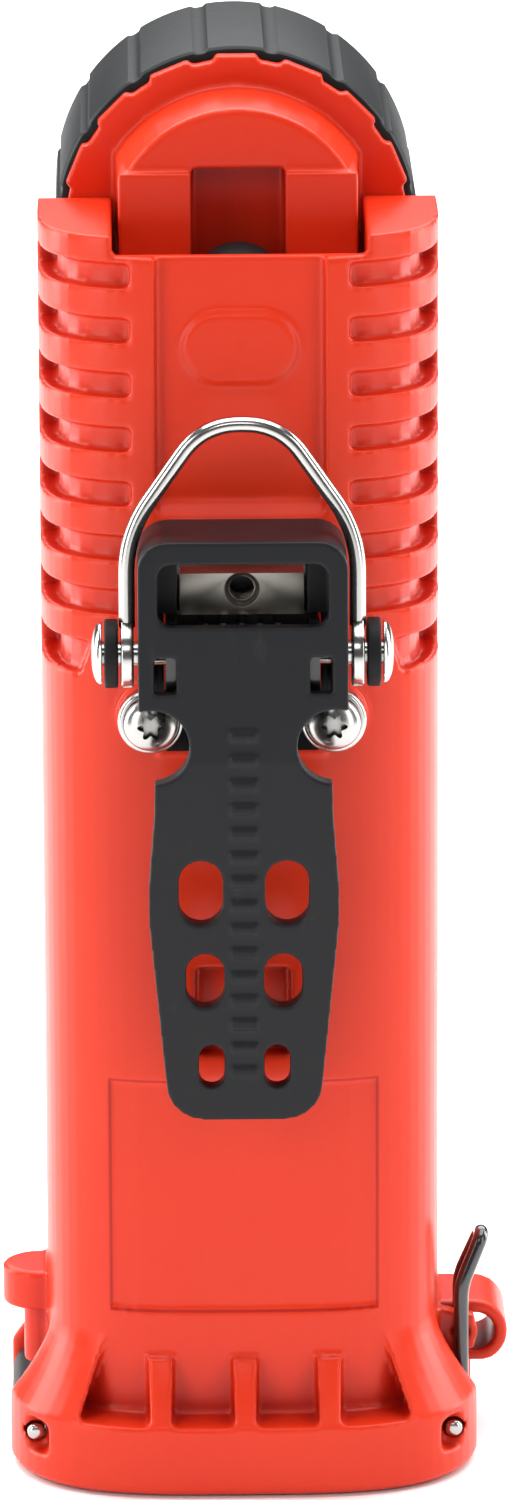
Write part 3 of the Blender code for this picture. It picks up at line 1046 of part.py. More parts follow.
def make_pivot():
    line = (PIVOT_BACK, PIVOT_HEIGHT)
    washer_in = D_HALF + D_EYE_THICKNESS / 2 + GAP
    washer_out = washer_in + WASHER_THICKNESS
    head_in = washer_out + GAP
    head_out = head_in + RIVET_HEAD_HEIGHT
    big = RIVET_HEAD_RADIUS
    half = [(big * 0.35, head_out), (big * 0.8, head_out - 0.25 * MM), (big, head_out - 0.75 * MM), (big, head_in), (PIVOT_RADIUS, head_in)]
    profile = [(radius, -level) for radius, level in half] + [(radius, level) for radius, level in reversed(half)]
    mesh_object("pivot_rivet", turned(profile, "x", line, 22), steel)
    for side, word in ((-1, "left"), (1, "right")):
        low, high = sorted((side * washer_in, side * washer_out))
        mesh_object(f"pivot_washer_{word}", ring(PIVOT_RADIUS + GAP, WASHER_RADIUS, "x", low, high, line, 24), rubber)

    # D-ring: flat eyes on the rivet, straight legs, shoulders and a round top
    shoulder = PIVOT_HEIGHT + D_SHOULDER
    top = PIVOT_HEIGHT + D_REACH
    crown = 4.6 * MM
    corners = [
        (-D_HALF, PIVOT_BACK, PIVOT_HEIGHT + D_EYE_RADIUS - OVERLAP),
        (-D_HALF, PIVOT_BACK, shoulder),
        (-crown, PIVOT_BACK, top),
        (crown, PIVOT_BACK, top),
        (D_HALF, PIVOT_BACK, shoulder),
        (D_HALF, PIVOT_BACK, PIVOT_HEIGHT + D_EYE_RADIUS - OVERLAP),
    ]
    path = rounded_path(corners, 4.0 * MM, 4)
    wire = mesh_object("d_ring", sweep(path, D_WIRE / 2, 10), steel)
    for side in (-1, 1):
        middle = side * D_HALF
        eye = circle(D_EYE_RADIUS, 24, line)
        add(wire, f"eye_{side}", prism(eye, "x", middle - D_EYE_THICKNESS / 2, middle + D_EYE_THICKNESS / 2))
    for side in (-1, 1):
        hole = circle(PIVOT_RADIUS + GAP, 20, line)
        cut(wire, f"eye_{side}", prism(hole, "x", side * D_HALF - D_EYE_THICKNESS, side * D_HALF + D_EYE_THICKNESS))
    on_axis(wire, (0.0, PIVOT_BACK, PIVOT_HEIGHT))

    # torsion spring round the rivet between the bracket's cheeks
    turns, steps, reach, half_length = 4, 10, 3.2 * MM, 5.0 * MM
    wound = [(-half_length, PIVOT_BACK + 5.6 * MM, PIVOT_HEIGHT - 4.5 * MM)]
    total = turns * steps + steps // 2
    for step in range(total + 1):
        turn = 2 * math.pi * step / steps
        across = -half_length + 2 * half_length * step / total
        wound.append((across, PIVOT_BACK + reach * math.cos(turn), PIVOT_HEIGHT + reach * math.sin(turn)))
    wound.append((half_length, PIVOT_BACK - reach, PIVOT_HEIGHT - 5 * MM))
    mesh_object("clip_spring", sweep(wound, 0.5 * MM, 5), steel)


def make_head_screws():
    low = bayTop - GAP
    for number, (across, along) in enumerate(HEAD_SCREWS):
        profile = [(2.0 * MM, low - 1.3 * MM), (2.0 * MM, low), (HEAD_SCREW_RADIUS, low),
                   (HEAD_SCREW_RADIUS, DECK_TOP + GAP + HEAD_SCREW_BITE)]
        mesh_object(f"head_screw_{number + 1}", turned(profile, "z", (across, along), 16), steel)


make_body_shell()
make_head_housing()
make_switch()
make_optics()
make_battery()
make_door()
make_latch()
make_contacts()
make_clip()
make_bracket()
make_pivot()
make_head_screws()
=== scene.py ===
import json
import math
import bmesh
import bpy
from mathutils import Matrix, Vector


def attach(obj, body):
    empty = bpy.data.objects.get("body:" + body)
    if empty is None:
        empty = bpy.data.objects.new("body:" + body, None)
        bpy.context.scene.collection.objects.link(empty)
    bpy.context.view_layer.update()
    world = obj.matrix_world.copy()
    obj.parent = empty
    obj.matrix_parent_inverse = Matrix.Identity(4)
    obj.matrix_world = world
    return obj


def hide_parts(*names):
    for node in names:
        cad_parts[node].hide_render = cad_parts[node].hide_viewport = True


print("loading the packed light")
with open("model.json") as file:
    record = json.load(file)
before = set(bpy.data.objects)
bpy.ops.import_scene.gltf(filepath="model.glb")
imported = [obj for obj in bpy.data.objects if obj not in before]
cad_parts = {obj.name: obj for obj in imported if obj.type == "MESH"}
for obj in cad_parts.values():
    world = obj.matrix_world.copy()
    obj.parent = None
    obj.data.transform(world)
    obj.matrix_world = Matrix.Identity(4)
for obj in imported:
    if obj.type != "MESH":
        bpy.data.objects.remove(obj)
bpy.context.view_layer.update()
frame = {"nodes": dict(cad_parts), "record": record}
nodes = frame["nodes"]
scene = bpy.context.scene
scene.view_settings.view_transform = "Standard"
mm = 0.001


# one socket of a material, with the maths written as Python
class Wire:
    def __init__(self, surface, socket):
        self.surface, self.socket = surface, socket

    def maths(self, operation, *others, clamp=False):
        values = {number: value for number, value in enumerate((self, *others))}
        return self.surface.add("ShaderNodeMath", {"operation": operation, "use_clamp": clamp}, values)

    def __add__(self, other):
        return self.maths("ADD", other)

    def __radd__(self, other):
        return self.maths("ADD", other)

    def __sub__(self, other):
        return self.maths("SUBTRACT", other)

    def __rsub__(self, other):
        return self.surface.number(other).maths("SUBTRACT", self)

    def __mul__(self, other):
        return self.maths("MULTIPLY", other)

    def __rmul__(self, other):
        return self.maths("MULTIPLY", other)

    def __abs__(self):
        return self.maths("ABSOLUTE")

    def limited(self):
        return self.maths("ADD", 0.0, clamp=True)

    def between(self, low, high):
        values = {0: self, 1: low, 2: high, 3: 0.0, 4: 1.0}
        return self.surface.add("ShaderNodeMapRange", {"interpolation_type": "SMOOTHSTEP"}, values)


# a material whose one shader is fed by the nodes that it adds
class Surface:
    def __init__(self, name, **constants):
        self.material = bpy.data.materials.new(name)
        self.material.use_nodes = True
        self.tree = self.material.node_tree
        self.shader = self.tree.nodes["Principled BSDF"]
        for label, value in constants.items():
            self.put(label, value)

    def put(self, label, value):
        self.fill(self.shader.inputs[label.replace("_", " ")], value)

    def fill(self, socket, value):
        if isinstance(value, Wire):
            self.tree.links.new(value.socket, socket)
        elif hasattr(socket.default_value, "__len__"):
            value = tuple(value)
            if len(socket.default_value) == 4 and len(value) == 3:
                value = (*value, 1.0)
            socket.default_value = value
        else:
            socket.default_value = value

    def add(self, kind, settings=None, values=None, out=0):
        node = self.tree.nodes.new(kind)
        for label, value in (settings or {}).items():
            setattr(node, label, value)
        for label, value in (values or {}).items():
            self.fill(node.inputs[label], value)
        return Wire(self, node.outputs[out])

    def number(self, value):
        return self.add("ShaderNodeMath", {"operation": "ADD"}, {0: value, 1: 0.0})

    def place(self, scale=1.0, stretch=(1.0, 1.0, 1.0)):
        point = self.add("ShaderNodeTexCoord", out="Object")
        size = tuple(scale * side for side in stretch)
        return self.add("ShaderNodeVectorMath", {"operation": "MULTIPLY"}, {0: point, 1: size})

    def split(self, vector):
        node = self.add("ShaderNodeSeparateXYZ", {}, {0: vector}).socket.node
        return [Wire(self, socket) for socket in node.outputs]

    def noise(self, scale, detail=3.0, roughness=0.5, stretch=(1.0, 1.0, 1.0)):
        point = self.place(1.0, stretch)
        values = {"Vector": point, "Scale": scale, "Detail": detail, "Roughness": roughness}
        return self.add("ShaderNodeTexNoise", {}, values)

    def cells(self, scale, feature="F1", stretch=(1.0, 1.0, 1.0)):
        values = {"Vector": self.place(1.0, stretch), "Scale": scale}
        return self.add("ShaderNodeTexVoronoi", {"feature": feature}, values)

    def blend(self, factor, first, second):
        settings = {"data_type": "RGBA"}
        return self.add("ShaderNodeMix", settings, {0: factor, 6: first, 7: second}, out=2)

    # ambient occlusion factor, used to paint shade into hollows and recesses
    def occlusionShade(self, reach, samples=8):
        settings = {"samples": samples, "only_local": True}
        return self.add("ShaderNodeAmbientOcclusion", settings, {"Distance": reach}, out="AO")

    def relief(self, height, strength, depth):
        normal = self.add("ShaderNodeBump", {}, {"Strength": strength, "Distance": depth, "Height": height})
        self.put("Normal", normal)


# ---- finishes of the light's own pieces
polymerLook = {
    "colour": (0.61, 0.022, 0.005),
    # dark red used both for painted shade in recesses and for the label's real outline
    "shadeAndOutlineColour": (0.34, 0.004, 0.002),
    "worn": (0.70, 0.046, 0.011),
    "roughness": 0.31,
    "label": (16.7 * mm, 37.55 * mm, 15.05 * mm, 0.16 * mm),
    "grain": 1400.0,
    "grainDepth": 0.012 * mm,
}


def orangePolymer():
    look = polymerLook
    surface = Surface("orangePolymer", Specular_IOR_Level=0.28)
    # the label's thin outline on the back
    halfWide, middle, halfHigh, line = look["label"]
    x, y, z = surface.split(surface.place())
    outside = (abs(x) - halfWide).maths("MAXIMUM", abs(z - middle) - halfHigh)
    outline = abs(outside).between(line * 1.6, line * 0.5) * y.between(-12 * mm, -14 * mm)
    cloud = surface.noise(38.0, 4.0)
    speck = surface.noise(900.0, 2.0)
    shade = surface.blend((cloud * 0.5 + speck * 0.2).limited(), look["colour"], look["worn"])
    # painted shade: ambient occlusion darkens the orange towards dark red in small hollows and in deep
    # recesses; the label outline mixed in with it is a real line
    paintedHollowShade = surface.occlusionShade(3.5 * mm).between(1.0, 0.45) * 0.35
    paintedCaveShade = surface.occlusionShade(14 * mm).between(0.75, 0.25) * 0.8
    shadeAndOutline = paintedHollowShade.maths("MAXIMUM", paintedCaveShade).maths("MAXIMUM", outline * 0.8)
    surface.put("Base Color", surface.blend(shadeAndOutline.limited(), shade, look["shadeAndOutlineColour"]))
    surface.put("Roughness", look["roughness"] + (cloud - 0.5) * 0.10 + (speck - 0.5) * 0.06)
    grain = surface.noise(look["grain"], 2.0) + surface.noise(220.0, 2.0) * 0.6
    surface.relief(grain - outline * 8.0, 0.35, look["grainDepth"])
    return surface.material


def mouldedBlack(name, tone, roughness, grain, depth):
    surface = Surface(name, Specular_IOR_Level=0.18)
    cloud = surface.noise(60.0, 4.0)
    scuff = surface.noise(420.0, 5.0, 0.7, (1.0, 1.0, 0.35))
    dust = (scuff - 0.62) * 5.0
    pale = tuple(0.022 + 1.5 * side for side in tone)
    surface.put("Base Color", surface.blend(dust.limited() * 0.35, tone, pale))
    surface.put("Roughness", roughness + (cloud - 0.5) * 0.14 + (scuff - 0.5) * 0.10)
    surface.relief(surface.cells(grain) + surface.noise(grain * 0.4, 3.0) * 0.5, 0.4, depth)
    return surface.material


def polishedSteel(name, tone, roughness, stretch):
    surface = Surface(name, Metallic=1.0)
    lines = surface.noise(900.0, 3.0, 0.6, stretch)
    stain = surface.noise(120.0, 4.0)
    dim = tuple(0.72 * side for side in tone)
    metal = surface.blend((stain * 0.7 + lines * 0.3).limited(), dim, tone)
    # painted shade: ambient occlusion darkens the metal to a tenth of its tone in hollows and crevices
    paintedHollowShade = surface.occlusionShade(1.6 * mm).between(0.85, 0.25)
    surface.put("Base Color", surface.blend(paintedHollowShade * 0.9, metal, tuple(0.10 * side for side in tone)))
    surface.put("Roughness", roughness + (lines - 0.5) * 0.16 + (stain - 0.5) * 0.10)
    surface.relief(lines, 0.12, 0.01 * mm)
    return surface.material


def smoothCoat(name, tone, roughness, coat):
    surface = Surface(name, Coat_Weight=coat, Coat_Roughness=0.06)
    wear = surface.noise(300.0, 4.0)
    lighter = tuple(0.03 + 1.4 * side for side in tone)
    surface.put("Base Color", surface.blend(wear.between(0.5, 0.8) * 0.4, tone, lighter))
    surface.put("Roughness", roughness + (wear - 0.5) * 0.15)
    surface.relief(wear, 0.08, 0.02 * mm)
    return surface.material


def circuitBoard():
    surface = Surface("solderResist", Coat_Weight=0.25)
    tracks = surface.cells(260.0, "DISTANCE_TO_EDGE").between(0.05, 0.12)
    fibre = surface.noise(1800.0, 2.0)
    surface.put("Base Color", surface.blend(tracks, (0.09, 0.33, 0.13), (0.02, 0.15, 0.06)))
    surface.put("Roughness", 0.38 + (fibre - 0.5) * 0.2)
    surface.relief(tracks, 0.3, 0.03 * mm)
    return surface.material


def clearLens():
    surface = Surface("clearLens", Transmission_Weight=1.0, IOR=1.49, Base_Color=(0.97, 0.99, 1.0))
    haze = surface.noise(160.0, 5.0)
    surface.put("Roughness", 0.015 + haze * 0.03)
    surface.relief(haze, 0.05, 0.01 * mm)
    return surface.material


def phosphor():
    surface = Surface("ledPhosphor", Coat_Weight=0.8, Coat_Roughness=0.05)
    grain = surface.noise(2500.0, 2.0)
    surface.put("Base Color", surface.blend(grain, (0.82, 0.62, 0.10), (0.92, 0.80, 0.25)))
    surface.put("Roughness", 0.3 + grain * 0.2)
    return surface.material


def cellWrap():
    surface = Surface("cellWrap", Coat_Weight=0.4, Coat_Roughness=0.12)
    height = surface.split(surface.place())[2]
    foil = surface.noise(70.0, 4.0, 0.6, (1.0, 1.0, 0.15))
    band = ((height * 1000.0).maths("MODULO", 50.8) - 38.0).between(0.0, 0.3)
    body = surface.blend(foil, (0.035, 0.045, 0.07), (0.06, 0.07, 0.10))
    surface.put("Base Color", surface.blend(band, body, (0.62, 0.33, 0.13)))
    surface.put("Roughness", 0.28 + (foil - 0.5) * 0.16)
    surface.relief(foil, 0.1, 0.02 * mm)
    return surface.material


print("mixing the finishes")
orange = orangePolymer()
clipBlack = mouldedBlack("clipNylon", (0.011, 0.0115, 0.013), 0.40, 2600.0, 0.014 * mm)
capBlack = mouldedBlack("capRubber", (0.010, 0.012, 0.013), 0.46, 1900.0, 0.02 * mm)
rubber = mouldedBlack("softRubber", (0.007, 0.007, 0.008), 0.55, 1500.0, 0.02 * mm)
doorBlack = mouldedBlack("doorNylon", (0.012, 0.012, 0.013), 0.45, 2200.0, 0.02 * mm)
wireSteel = polishedSteel("polishedWire", (0.62, 0.61, 0.59), 0.17, (1.0, 1.0, 0.2))
plainSteel = polishedSteel("screwSteel", (0.58, 0.57, 0.55), 0.24, (1.0, 1.0, 1.0))
barSteel = polishedSteel("sawnSteel", (0.46, 0.43, 0.385), 0.36, (0.15, 1.0, 1.0))
springSteel = polishedSteel("springSteel", (0.52, 0.51, 0.50), 0.30, (1.0, 1.0, 1.0))
brightAluminium = polishedSteel("turnedAluminium", (0.82, 0.83, 0.85), 0.32, (1.0, 0.1, 1.0))
reflectorCoat = polishedSteel("reflectorCoat", (0.93, 0.93, 0.94), 0.06, (1.0, 1.0, 1.0))
plating = polishedSteel("nickelBrass", (0.78, 0.66, 0.40), 0.28, (1.0, 1.0, 1.0))
glossBlack = smoothCoat("glossBlack", (0.012, 0.012, 0.013), 0.22, 0.9)
board = circuitBoard()
lensClear = clearLens()
ledYellow = phosphor()
cellSleeve = cellWrap()

finishOf = {
    "orange_polymer": orange,
    "black_nylon": doorBlack,
    "black_rubber": rubber,
    "stainless_steel": plainSteel,
    "black_coated_wire": glossBlack,
    "aluminium": brightAluminium,
    "reflector_metal": reflectorCoat,
    "clear_lens": lensClear,
    "nickelled_brass": plating,
    "circuit_board": board,
    "led_phosphor": ledYellow,
    "cell_sleeve": cellSleeve,
}
for entry in frame["record"]["subparts"]:
    mesh = nodes[entry["node"]].data
    mesh.materials.clear()
    mesh.materials.append(finishOf[entry["material_slot"]])
    mesh.shade_smooth()
    mesh.set_sharp_from_angle(angle=math.radians(35))
for name in ("clip_spring", "cell_spring_left", "cell_spring_right"):
    nodes[name].data.materials[0] = springSteel


# ---- shapes, in metres
def circlePoints(radius, count, middle=(0.0, 0.0), start=0.0, turn=2 * math.pi):
    steps = count if turn >= 2 * math.pi else count - 1
    angles = [start + turn * step / steps for step in range(count)]
    return [(middle[0] + radius * math.cos(a), middle[1] + radius * math.sin(a)) for a in angles]


def placed(point, level, axis):
    if axis == "x":
        return (level, point[0], point[1])
    if axis == "y":
        return (point[0], level, point[1])
    return (point[0], point[1], level)


def atLevel(points, level, axis):
    return [placed(point, level, axis) for point in points]


def meshPiece(name, points, faces, finish=None, sharp=40):
    mesh = bpy.data.meshes.new(name)
    mesh.from_pydata([tuple(p) for p in points], [], faces)
    work = bmesh.new()
    work.from_mesh(mesh)
    bmesh.ops.recalc_face_normals(work, faces=work.faces)
    work.to_mesh(mesh)
    work.free()
    piece = bpy.data.objects.new(name, mesh)
    scene.collection.objects.link(piece)
    if finish:
        mesh.materials.append(finish)
    mesh.shade_smooth()
    mesh.set_sharp_from_angle(angle=math.radians(sharp))
    return piece


def loftPiece(name, rings, finish=None, sharp=40, closed=False):
    count = len(rings[0])
    points = [p for ring in rings for p in ring]
    faces = []
    if not closed:
        faces = [tuple(range(count)), tuple(range(len(points) - count, len(points)))]
    for level in range(len(rings) if closed else len(rings) - 1):
        first, second = level * count, (level + 1) % len(rings) * count
        for step in range(count):
            after = (step + 1) % count
            faces.append((first + step, first + after, second + after, second + step))
    return meshPiece(name, points, faces, finish, sharp)


def turnedPiece(name, profile, axis, centre, finish=None, count=96, sharp=40, closed=False):
    rings = [atLevel(circlePoints(radius, count, centre), level, axis) for radius, level in profile]
    return loftPiece(name, rings, finish, sharp, closed)


def slab(name, outline, axis, low, high):
    return loftPiece(name, [atLevel(outline, low, axis), atLevel(outline, high, axis)])


def block(name, x0, x1, y0, y1, z0, z1):
    return slab(name, [(x0, y0), (x1, y0), (x1, y1), (x0, y1)], "z", z0, z1)


def wirePiece(name, path, radius, finish=None, closed=False, sides=20):
    path = [Vector(p) for p in path]
    count = len(path)
    rings, normal = [], None
    for step, point in enumerate(path):
        before = path[step - 1] if closed or step else point
        after = path[(step + 1) % count] if closed or step < count - 1 else point
        along = (after - before).normalized()
        normal = normal or along.orthogonal()
        normal = (normal - along * normal.dot(along)).normalized()
        across = along.cross(normal)
        angles = [2 * math.pi * side / sides for side in range(sides)]
        rings.append([point + radius * (math.cos(a) * normal + math.sin(a) * across) for a in angles])
    return loftPiece(name, rings, finish, 60, closed)


def bentPath(corners, radius, steps, closed=False):
    path, count = [], len(corners)
    for number, corner in enumerate(corners):
        corner = Vector(corner)
        if not closed and number in (0, count - 1):
            path.append(corner)
            continue
        before = Vector(corners[number - 1]) - corner
        after = Vector(corners[(number + 1) % count]) - corner
        reach = min(radius, 0.47 * before.length, 0.47 * after.length)
        start, end = corner + before.normalized() * reach, corner + after.normalized() * reach
        for step in range(steps + 1):
            share = step / steps
            path.append(start.lerp(corner, share).lerp(corner.lerp(end, share), share))
    return path


def combine(piece, others, operation):
    for other in others:
        modifier = piece.modifiers.new("join", "BOOLEAN")
        modifier.operation = operation
        modifier.solver = "EXACT"
        modifier.object = other
        settle(piece)
        bpy.data.objects.remove(other)


def settle(piece):
    graph = bpy.context.evaluated_depsgraph_get()
    graph.update()
    mesh = bpy.data.meshes.new_from_object(piece.evaluated_get(graph), depsgraph=graph)
    old = piece.data
    piece.modifiers.clear()
    piece.data = mesh
    bpy.data.meshes.remove(old)


def moulded(piece, voxel, passes, keep=1.0):
    remesh = piece.modifiers.new("skin", "REMESH")
    remesh.mode = "VOXEL"
    remesh.voxel_size = voxel
    remesh.use_smooth_shade = True
    smooth = piece.modifiers.new("ease", "SMOOTH")
    smooth.factor = 0.5
    smooth.iterations = passes
    if keep < 1.0:
        fewer = piece.modifiers.new("fewer", "DECIMATE")
        fewer.ratio = keep
    settle(piece)
    piece.data.shade_smooth()


def copyOf(node, name):
    piece = bpy.data.objects.new(name, nodes[node].data.copy())
    scene.collection.objects.link(piece)
    return piece


def stands(piece, body, slot, *replaced):
    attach(piece, body)
    if replaced:
        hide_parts(*replaced)
    return piece


def dressed(piece, finish):
    piece.data.materials.clear()
    piece.data.materials.append(finish)
    return piece


# ---- camera, light and floor
cameraView = {
    "pitch": 15.0, "side": -0.8, "roll": -0.25, "distance": 1.2, "aim": (0.00185, 0.0015, 0.0896),
    "lens": 228.6, "sensor": 36.0, "near": 0.05,
}


def placeCamera():
    view = cameraView
    data = bpy.data.cameras.new("backCamera")
    data.lens = view["lens"]
    data.sensor_width = view["sensor"]
    data.clip_start = view["near"]
    camera = bpy.data.objects.new("backCamera", data)
    scene.collection.objects.link(camera)
    pitch = math.radians(view["pitch"])
    side = Matrix.Rotation(math.radians(view["side"]), 3, "Z")
    back = side @ Vector((0, -math.cos(pitch), math.sin(pitch)))
    camera.location = Vector(view["aim"]) + view["distance"] * back
    roll = Matrix.Rotation(math.radians(view["roll"]), 3, "Z")
    turn = side @ Matrix.Rotation(math.pi / 2 - pitch, 3, "X") @ roll
    camera.rotation_euler = turn.to_euler()
    scene.camera = camera


studio = {  # name: place, aim, size, power, colour
    "topBox": ((0.0, 0.05, 1.0), (0.0, 0.0, 0.0), (1.2, 0.9), 14.0, (1.0, 1.0, 1.0)),
    "farTop": ((0.0, 1.25, 0.9), (0.0, 1.25, 0.0), (1.8, 1.3), 26.0, (1.0, 1.0, 1.0)),
    "leftBox": ((-0.70, -0.62, 0.30), (0.0, 0.0, 0.09), (0.35, 0.7), 3.4, (1.0, 0.99, 0.98)),
    "rightBox": ((0.70, -0.55, 0.30), (0.0, 0.0, 0.09), (0.3, 0.7), 2.2, (1.0, 1.0, 1.0)),
    "leftEdge": ((-0.65, 0.22, 0.30), (0.0, 0.0, 0.10), (0.35, 0.6), 5.0, (1.0, 1.0, 1.0)),
    "rightEdge": ((0.65, 0.22, 0.30), (0.0, 0.0, 0.10), (0.35, 0.6), 4.5, (1.0, 1.0, 1.0)),
    "frontBox": ((-0.1, -1.2, 0.85), (0.0, 0.0, 0.08), (0.5, 0.35), 1.6, (1.0, 1.0, 1.0)),
}
roomLight = 0.12


def lightStudio():
    for name, (place, aim, size, power, colour) in studio.items():
        data = bpy.data.lights.new(name, "AREA")
        data.shape = "RECTANGLE"
        data.size, data.size_y = size
        data.energy = power
        data.color = colour
        lamp = bpy.data.objects.new(name, data)
        lamp.location = place
        lamp.rotation_euler = (Vector(aim) - Vector(place)).to_track_quat("-Z", "Y").to_euler()
        scene.collection.objects.link(lamp)
    world = bpy.data.worlds.new("paleRoom")
    scene.world = world
    world.use_nodes = True
    background = world.node_tree.nodes["Background"]
    background.inputs["Color"].default_value = (1.0, 1.0, 1.0, 1.0)
    background.inputs["Strength"].default_value = roomLight


floorLook = {"half": 6, "drop": 0.3 * mm}


def layFloor():
    surface = Surface("paleFloor", Specular_IOR_Level=0.2)
    cloud = surface.noise(3.0, 3.0)
    surface.put("Base Color", surface.blend(cloud, (0.93, 0.93, 0.93), (0.97, 0.97, 0.97)))
    surface.put("Roughness", 0.7 + cloud * 0.1)
    half = floorLook["half"]
    corners = [(-half, -half, 0), (half, -half, 0), (half, half, 0), (-half, half, 0)]
    floor = meshPiece("floor", corners, [(0, 1, 2, 3)], surface.material)
    floor.location.z = -floorLook["drop"]


placeCamera()
lightStudio()
layFloor()


# ---- the moulded orange body
print("body shell")
bodyMould = {"voxel": 0.38 * mm, "ease": 2, "keep": 0.45}


def makeOrange(node, name, mould):
    piece = dressed(copyOf(node, name), orange)
    moulded(piece, mould["voxel"], mould["ease"], mould["keep"])
    return stands(piece, "light_body", "orange_polymer", node)


makeOrange("body_shell", "bodyShell", bodyMould)

print("head housing")
headMould = {"voxel": 0.33 * mm, "ease": 3, "keep": 0.5}
makeOrange("head_housing", "headHousing", headMould)

# ---- face cap: a ribbed ring with eased ends
print("face cap")
headHeight = 155.6 * mm
capLook = {
    "ribs": 16, "perRib": 18, "radius": 22.7 * mm, "groove": 0.42 * mm, "share": 0.86,
    "back": 8.3 * mm, "front": 40.5 * mm, "bore": 20.9 * mm, "lip": 18.0 * mm, "glass": 35.35 * mm,
    # distance from the end, how far the edge is drawn in, share of the groove's depth
    "backEdge": ((0.0, 0.9, 0.2), (0.15, 0.35, 0.5), (0.5, 0.06, 0.9), (0.9, 0.0, 1.0)),
    "frontEdge": ((1.6, 0.0, 1.0), (1.0, 0.05, 0.9), (0.4, 0.25, 0.6), (0.1, 0.6, 0.3), (0.0, 1.1, 0.0)),
}


def capOutline(radius, groove):
    look = capLook
    points = []
    total = look["ribs"] * look["perRib"]
    for step in range(total):
        turn = 2 * math.pi * step / total + math.pi / 2
        place = (step / look["perRib"] + 0.5) % 1.0 - 0.5
        edge = (abs(place) - look["share"] / 2) / 0.035
        drop = groove * min(max(edge + 0.5, 0.0), 1.0)
        points.append(((radius - drop) * math.cos(turn), headHeight + (radius - drop) * math.sin(turn)))
    return points


def makeCap():
    look = capLook
    count = look["ribs"] * look["perRib"]
    edges = [(look["back"] + way * mm, less, groove) for way, less, groove in look["backEdge"]]
    edges += [(look["front"] - way * mm, less, groove) for way, less, groove in look["frontEdge"]]
    rings = []
    for level, less, groove in edges:
        outline = capOutline(look["radius"] - less * mm, groove * look["groove"])
        rings.append(atLevel(outline, level, "y"))
    lip, bore, front, glass, back = (look[part] for part in ("lip", "bore", "front", "glass", "back"))
    for radius, level in (
        (lip + 2.6 * mm, front - 0.05 * mm), (lip + 2.0 * mm, front - 0.5 * mm),
        (lip + 0.3 * mm, front - 2.6 * mm), (lip, front - 3.2 * mm),
        (lip, glass + 0.1 * mm), (lip + 0.2 * mm, glass), (bore, glass),
        (bore, back + 0.3 * mm), (bore + 0.3 * mm, back),
    ):
        rings.append(atLevel(circlePoints(radius, count, (0.0, headHeight), math.pi / 2), level, "y"))
    cap = loftPiece("faceCap", rings, capBlack, 35, closed=True)
    return stands(cap, "face_cap", "black_nylon", "face_cap")


makeCap()

# ---- belt clip with eased edges and a row of grip bars
print("belt clip")
clipLook = {
    "voxel": 0.27 * mm, "ease": 2, "keep": 0.5,
    "bars": 15, "top": 101.5, "pitch": 3.15, "half": 1.55, "rise": 0.35, "sink": 1.0, "thick": 0.55,
    # name of each inner web: inner side, back, front, low, high
    "webs": {
        "barWeb": (7.95, -29.7, -29.0, 115.2, 124.2),
        "portWeb": (9.6, -27.7, -27.0, 103.4, 112.0),
        "sideWeb": (9.6, -28.5, -27.8, 112.2, 115.6),
    },
    "webSide": 11.4,
}


def clipFaceAt(height):
    slope = min(max((98.0 - height) / 8.0, 0.0), 1.0) * 0.8
    if height < 90.0:
        slope = 0.8 + (90.0 - height) / 40.0 * 4.7
    return -36.5 + slope


def makeClip():
    look = clipLook
    clip = dressed(copyOf("clip_lever", "clipLever"), clipBlack)
    bars = []
    for number in range(look["bars"]):
        height = look["top"] - number * look["pitch"]
        face = clipFaceAt(height)
        wide, thick = look["half"] * mm, look["thick"]
        bars.append(block(f"bar{number}", -wide, wide, (face - look["rise"]) * mm, (face + look["sink"]) * mm,
                          (height - thick) * mm, (height + thick) * mm))
    # inner webs beside the tapped bar and behind the two ports
    for side in (-1, 1):
        for name, (inner, *rest) in look["webs"].items():
            near, far = sorted((side * inner * mm, side * look["webSide"] * mm))
            bars.append(block(name, near, far, *(value * mm for value in rest)))
    combine(clip, bars, "UNION")
    moulded(clip, look["voxel"], look["ease"], look["keep"])
    return stands(clip, "clip", "black_nylon", "clip_lever")


makeClip()

# ---- D-ring, rivet and washers
print("ring and pivot")
ringLook = {
    "wire": 1.0 * mm, "half": 14.1 * mm, "foot": 3.4 * mm, "shoulder": 125.4 * mm, "top": 139.0 * mm,
    "crown": 4.7 * mm, "bend": 5.0 * mm,
    "eye": (1.8 * mm, 4.2 * mm, 0.8 * mm, 0.32 * mm), "washer": (1.75 * mm, 4.25 * mm, 0.3 * mm),
    "washerSides": (15.2 * mm, 16.9 * mm),
}
pivotPlace = (-30.0 * mm, 110.4 * mm)


def roundedRing(name, inner, outer, low, high, ease, axis, centre, finish, count=72):
    section = []
    for signX, signY in ((1, 1), (-1, 1), (-1, -1), (1, -1)):
        corner = (outer - ease if signX > 0 else inner + ease, high - ease if signY > 0 else low + ease)
        start = math.atan2(signY, signX) - math.pi / 4
        section += circlePoints(ease, 5, corner, start, math.pi / 2)
    return turnedPiece(name, section, axis, centre, finish, count, 50, closed=True)


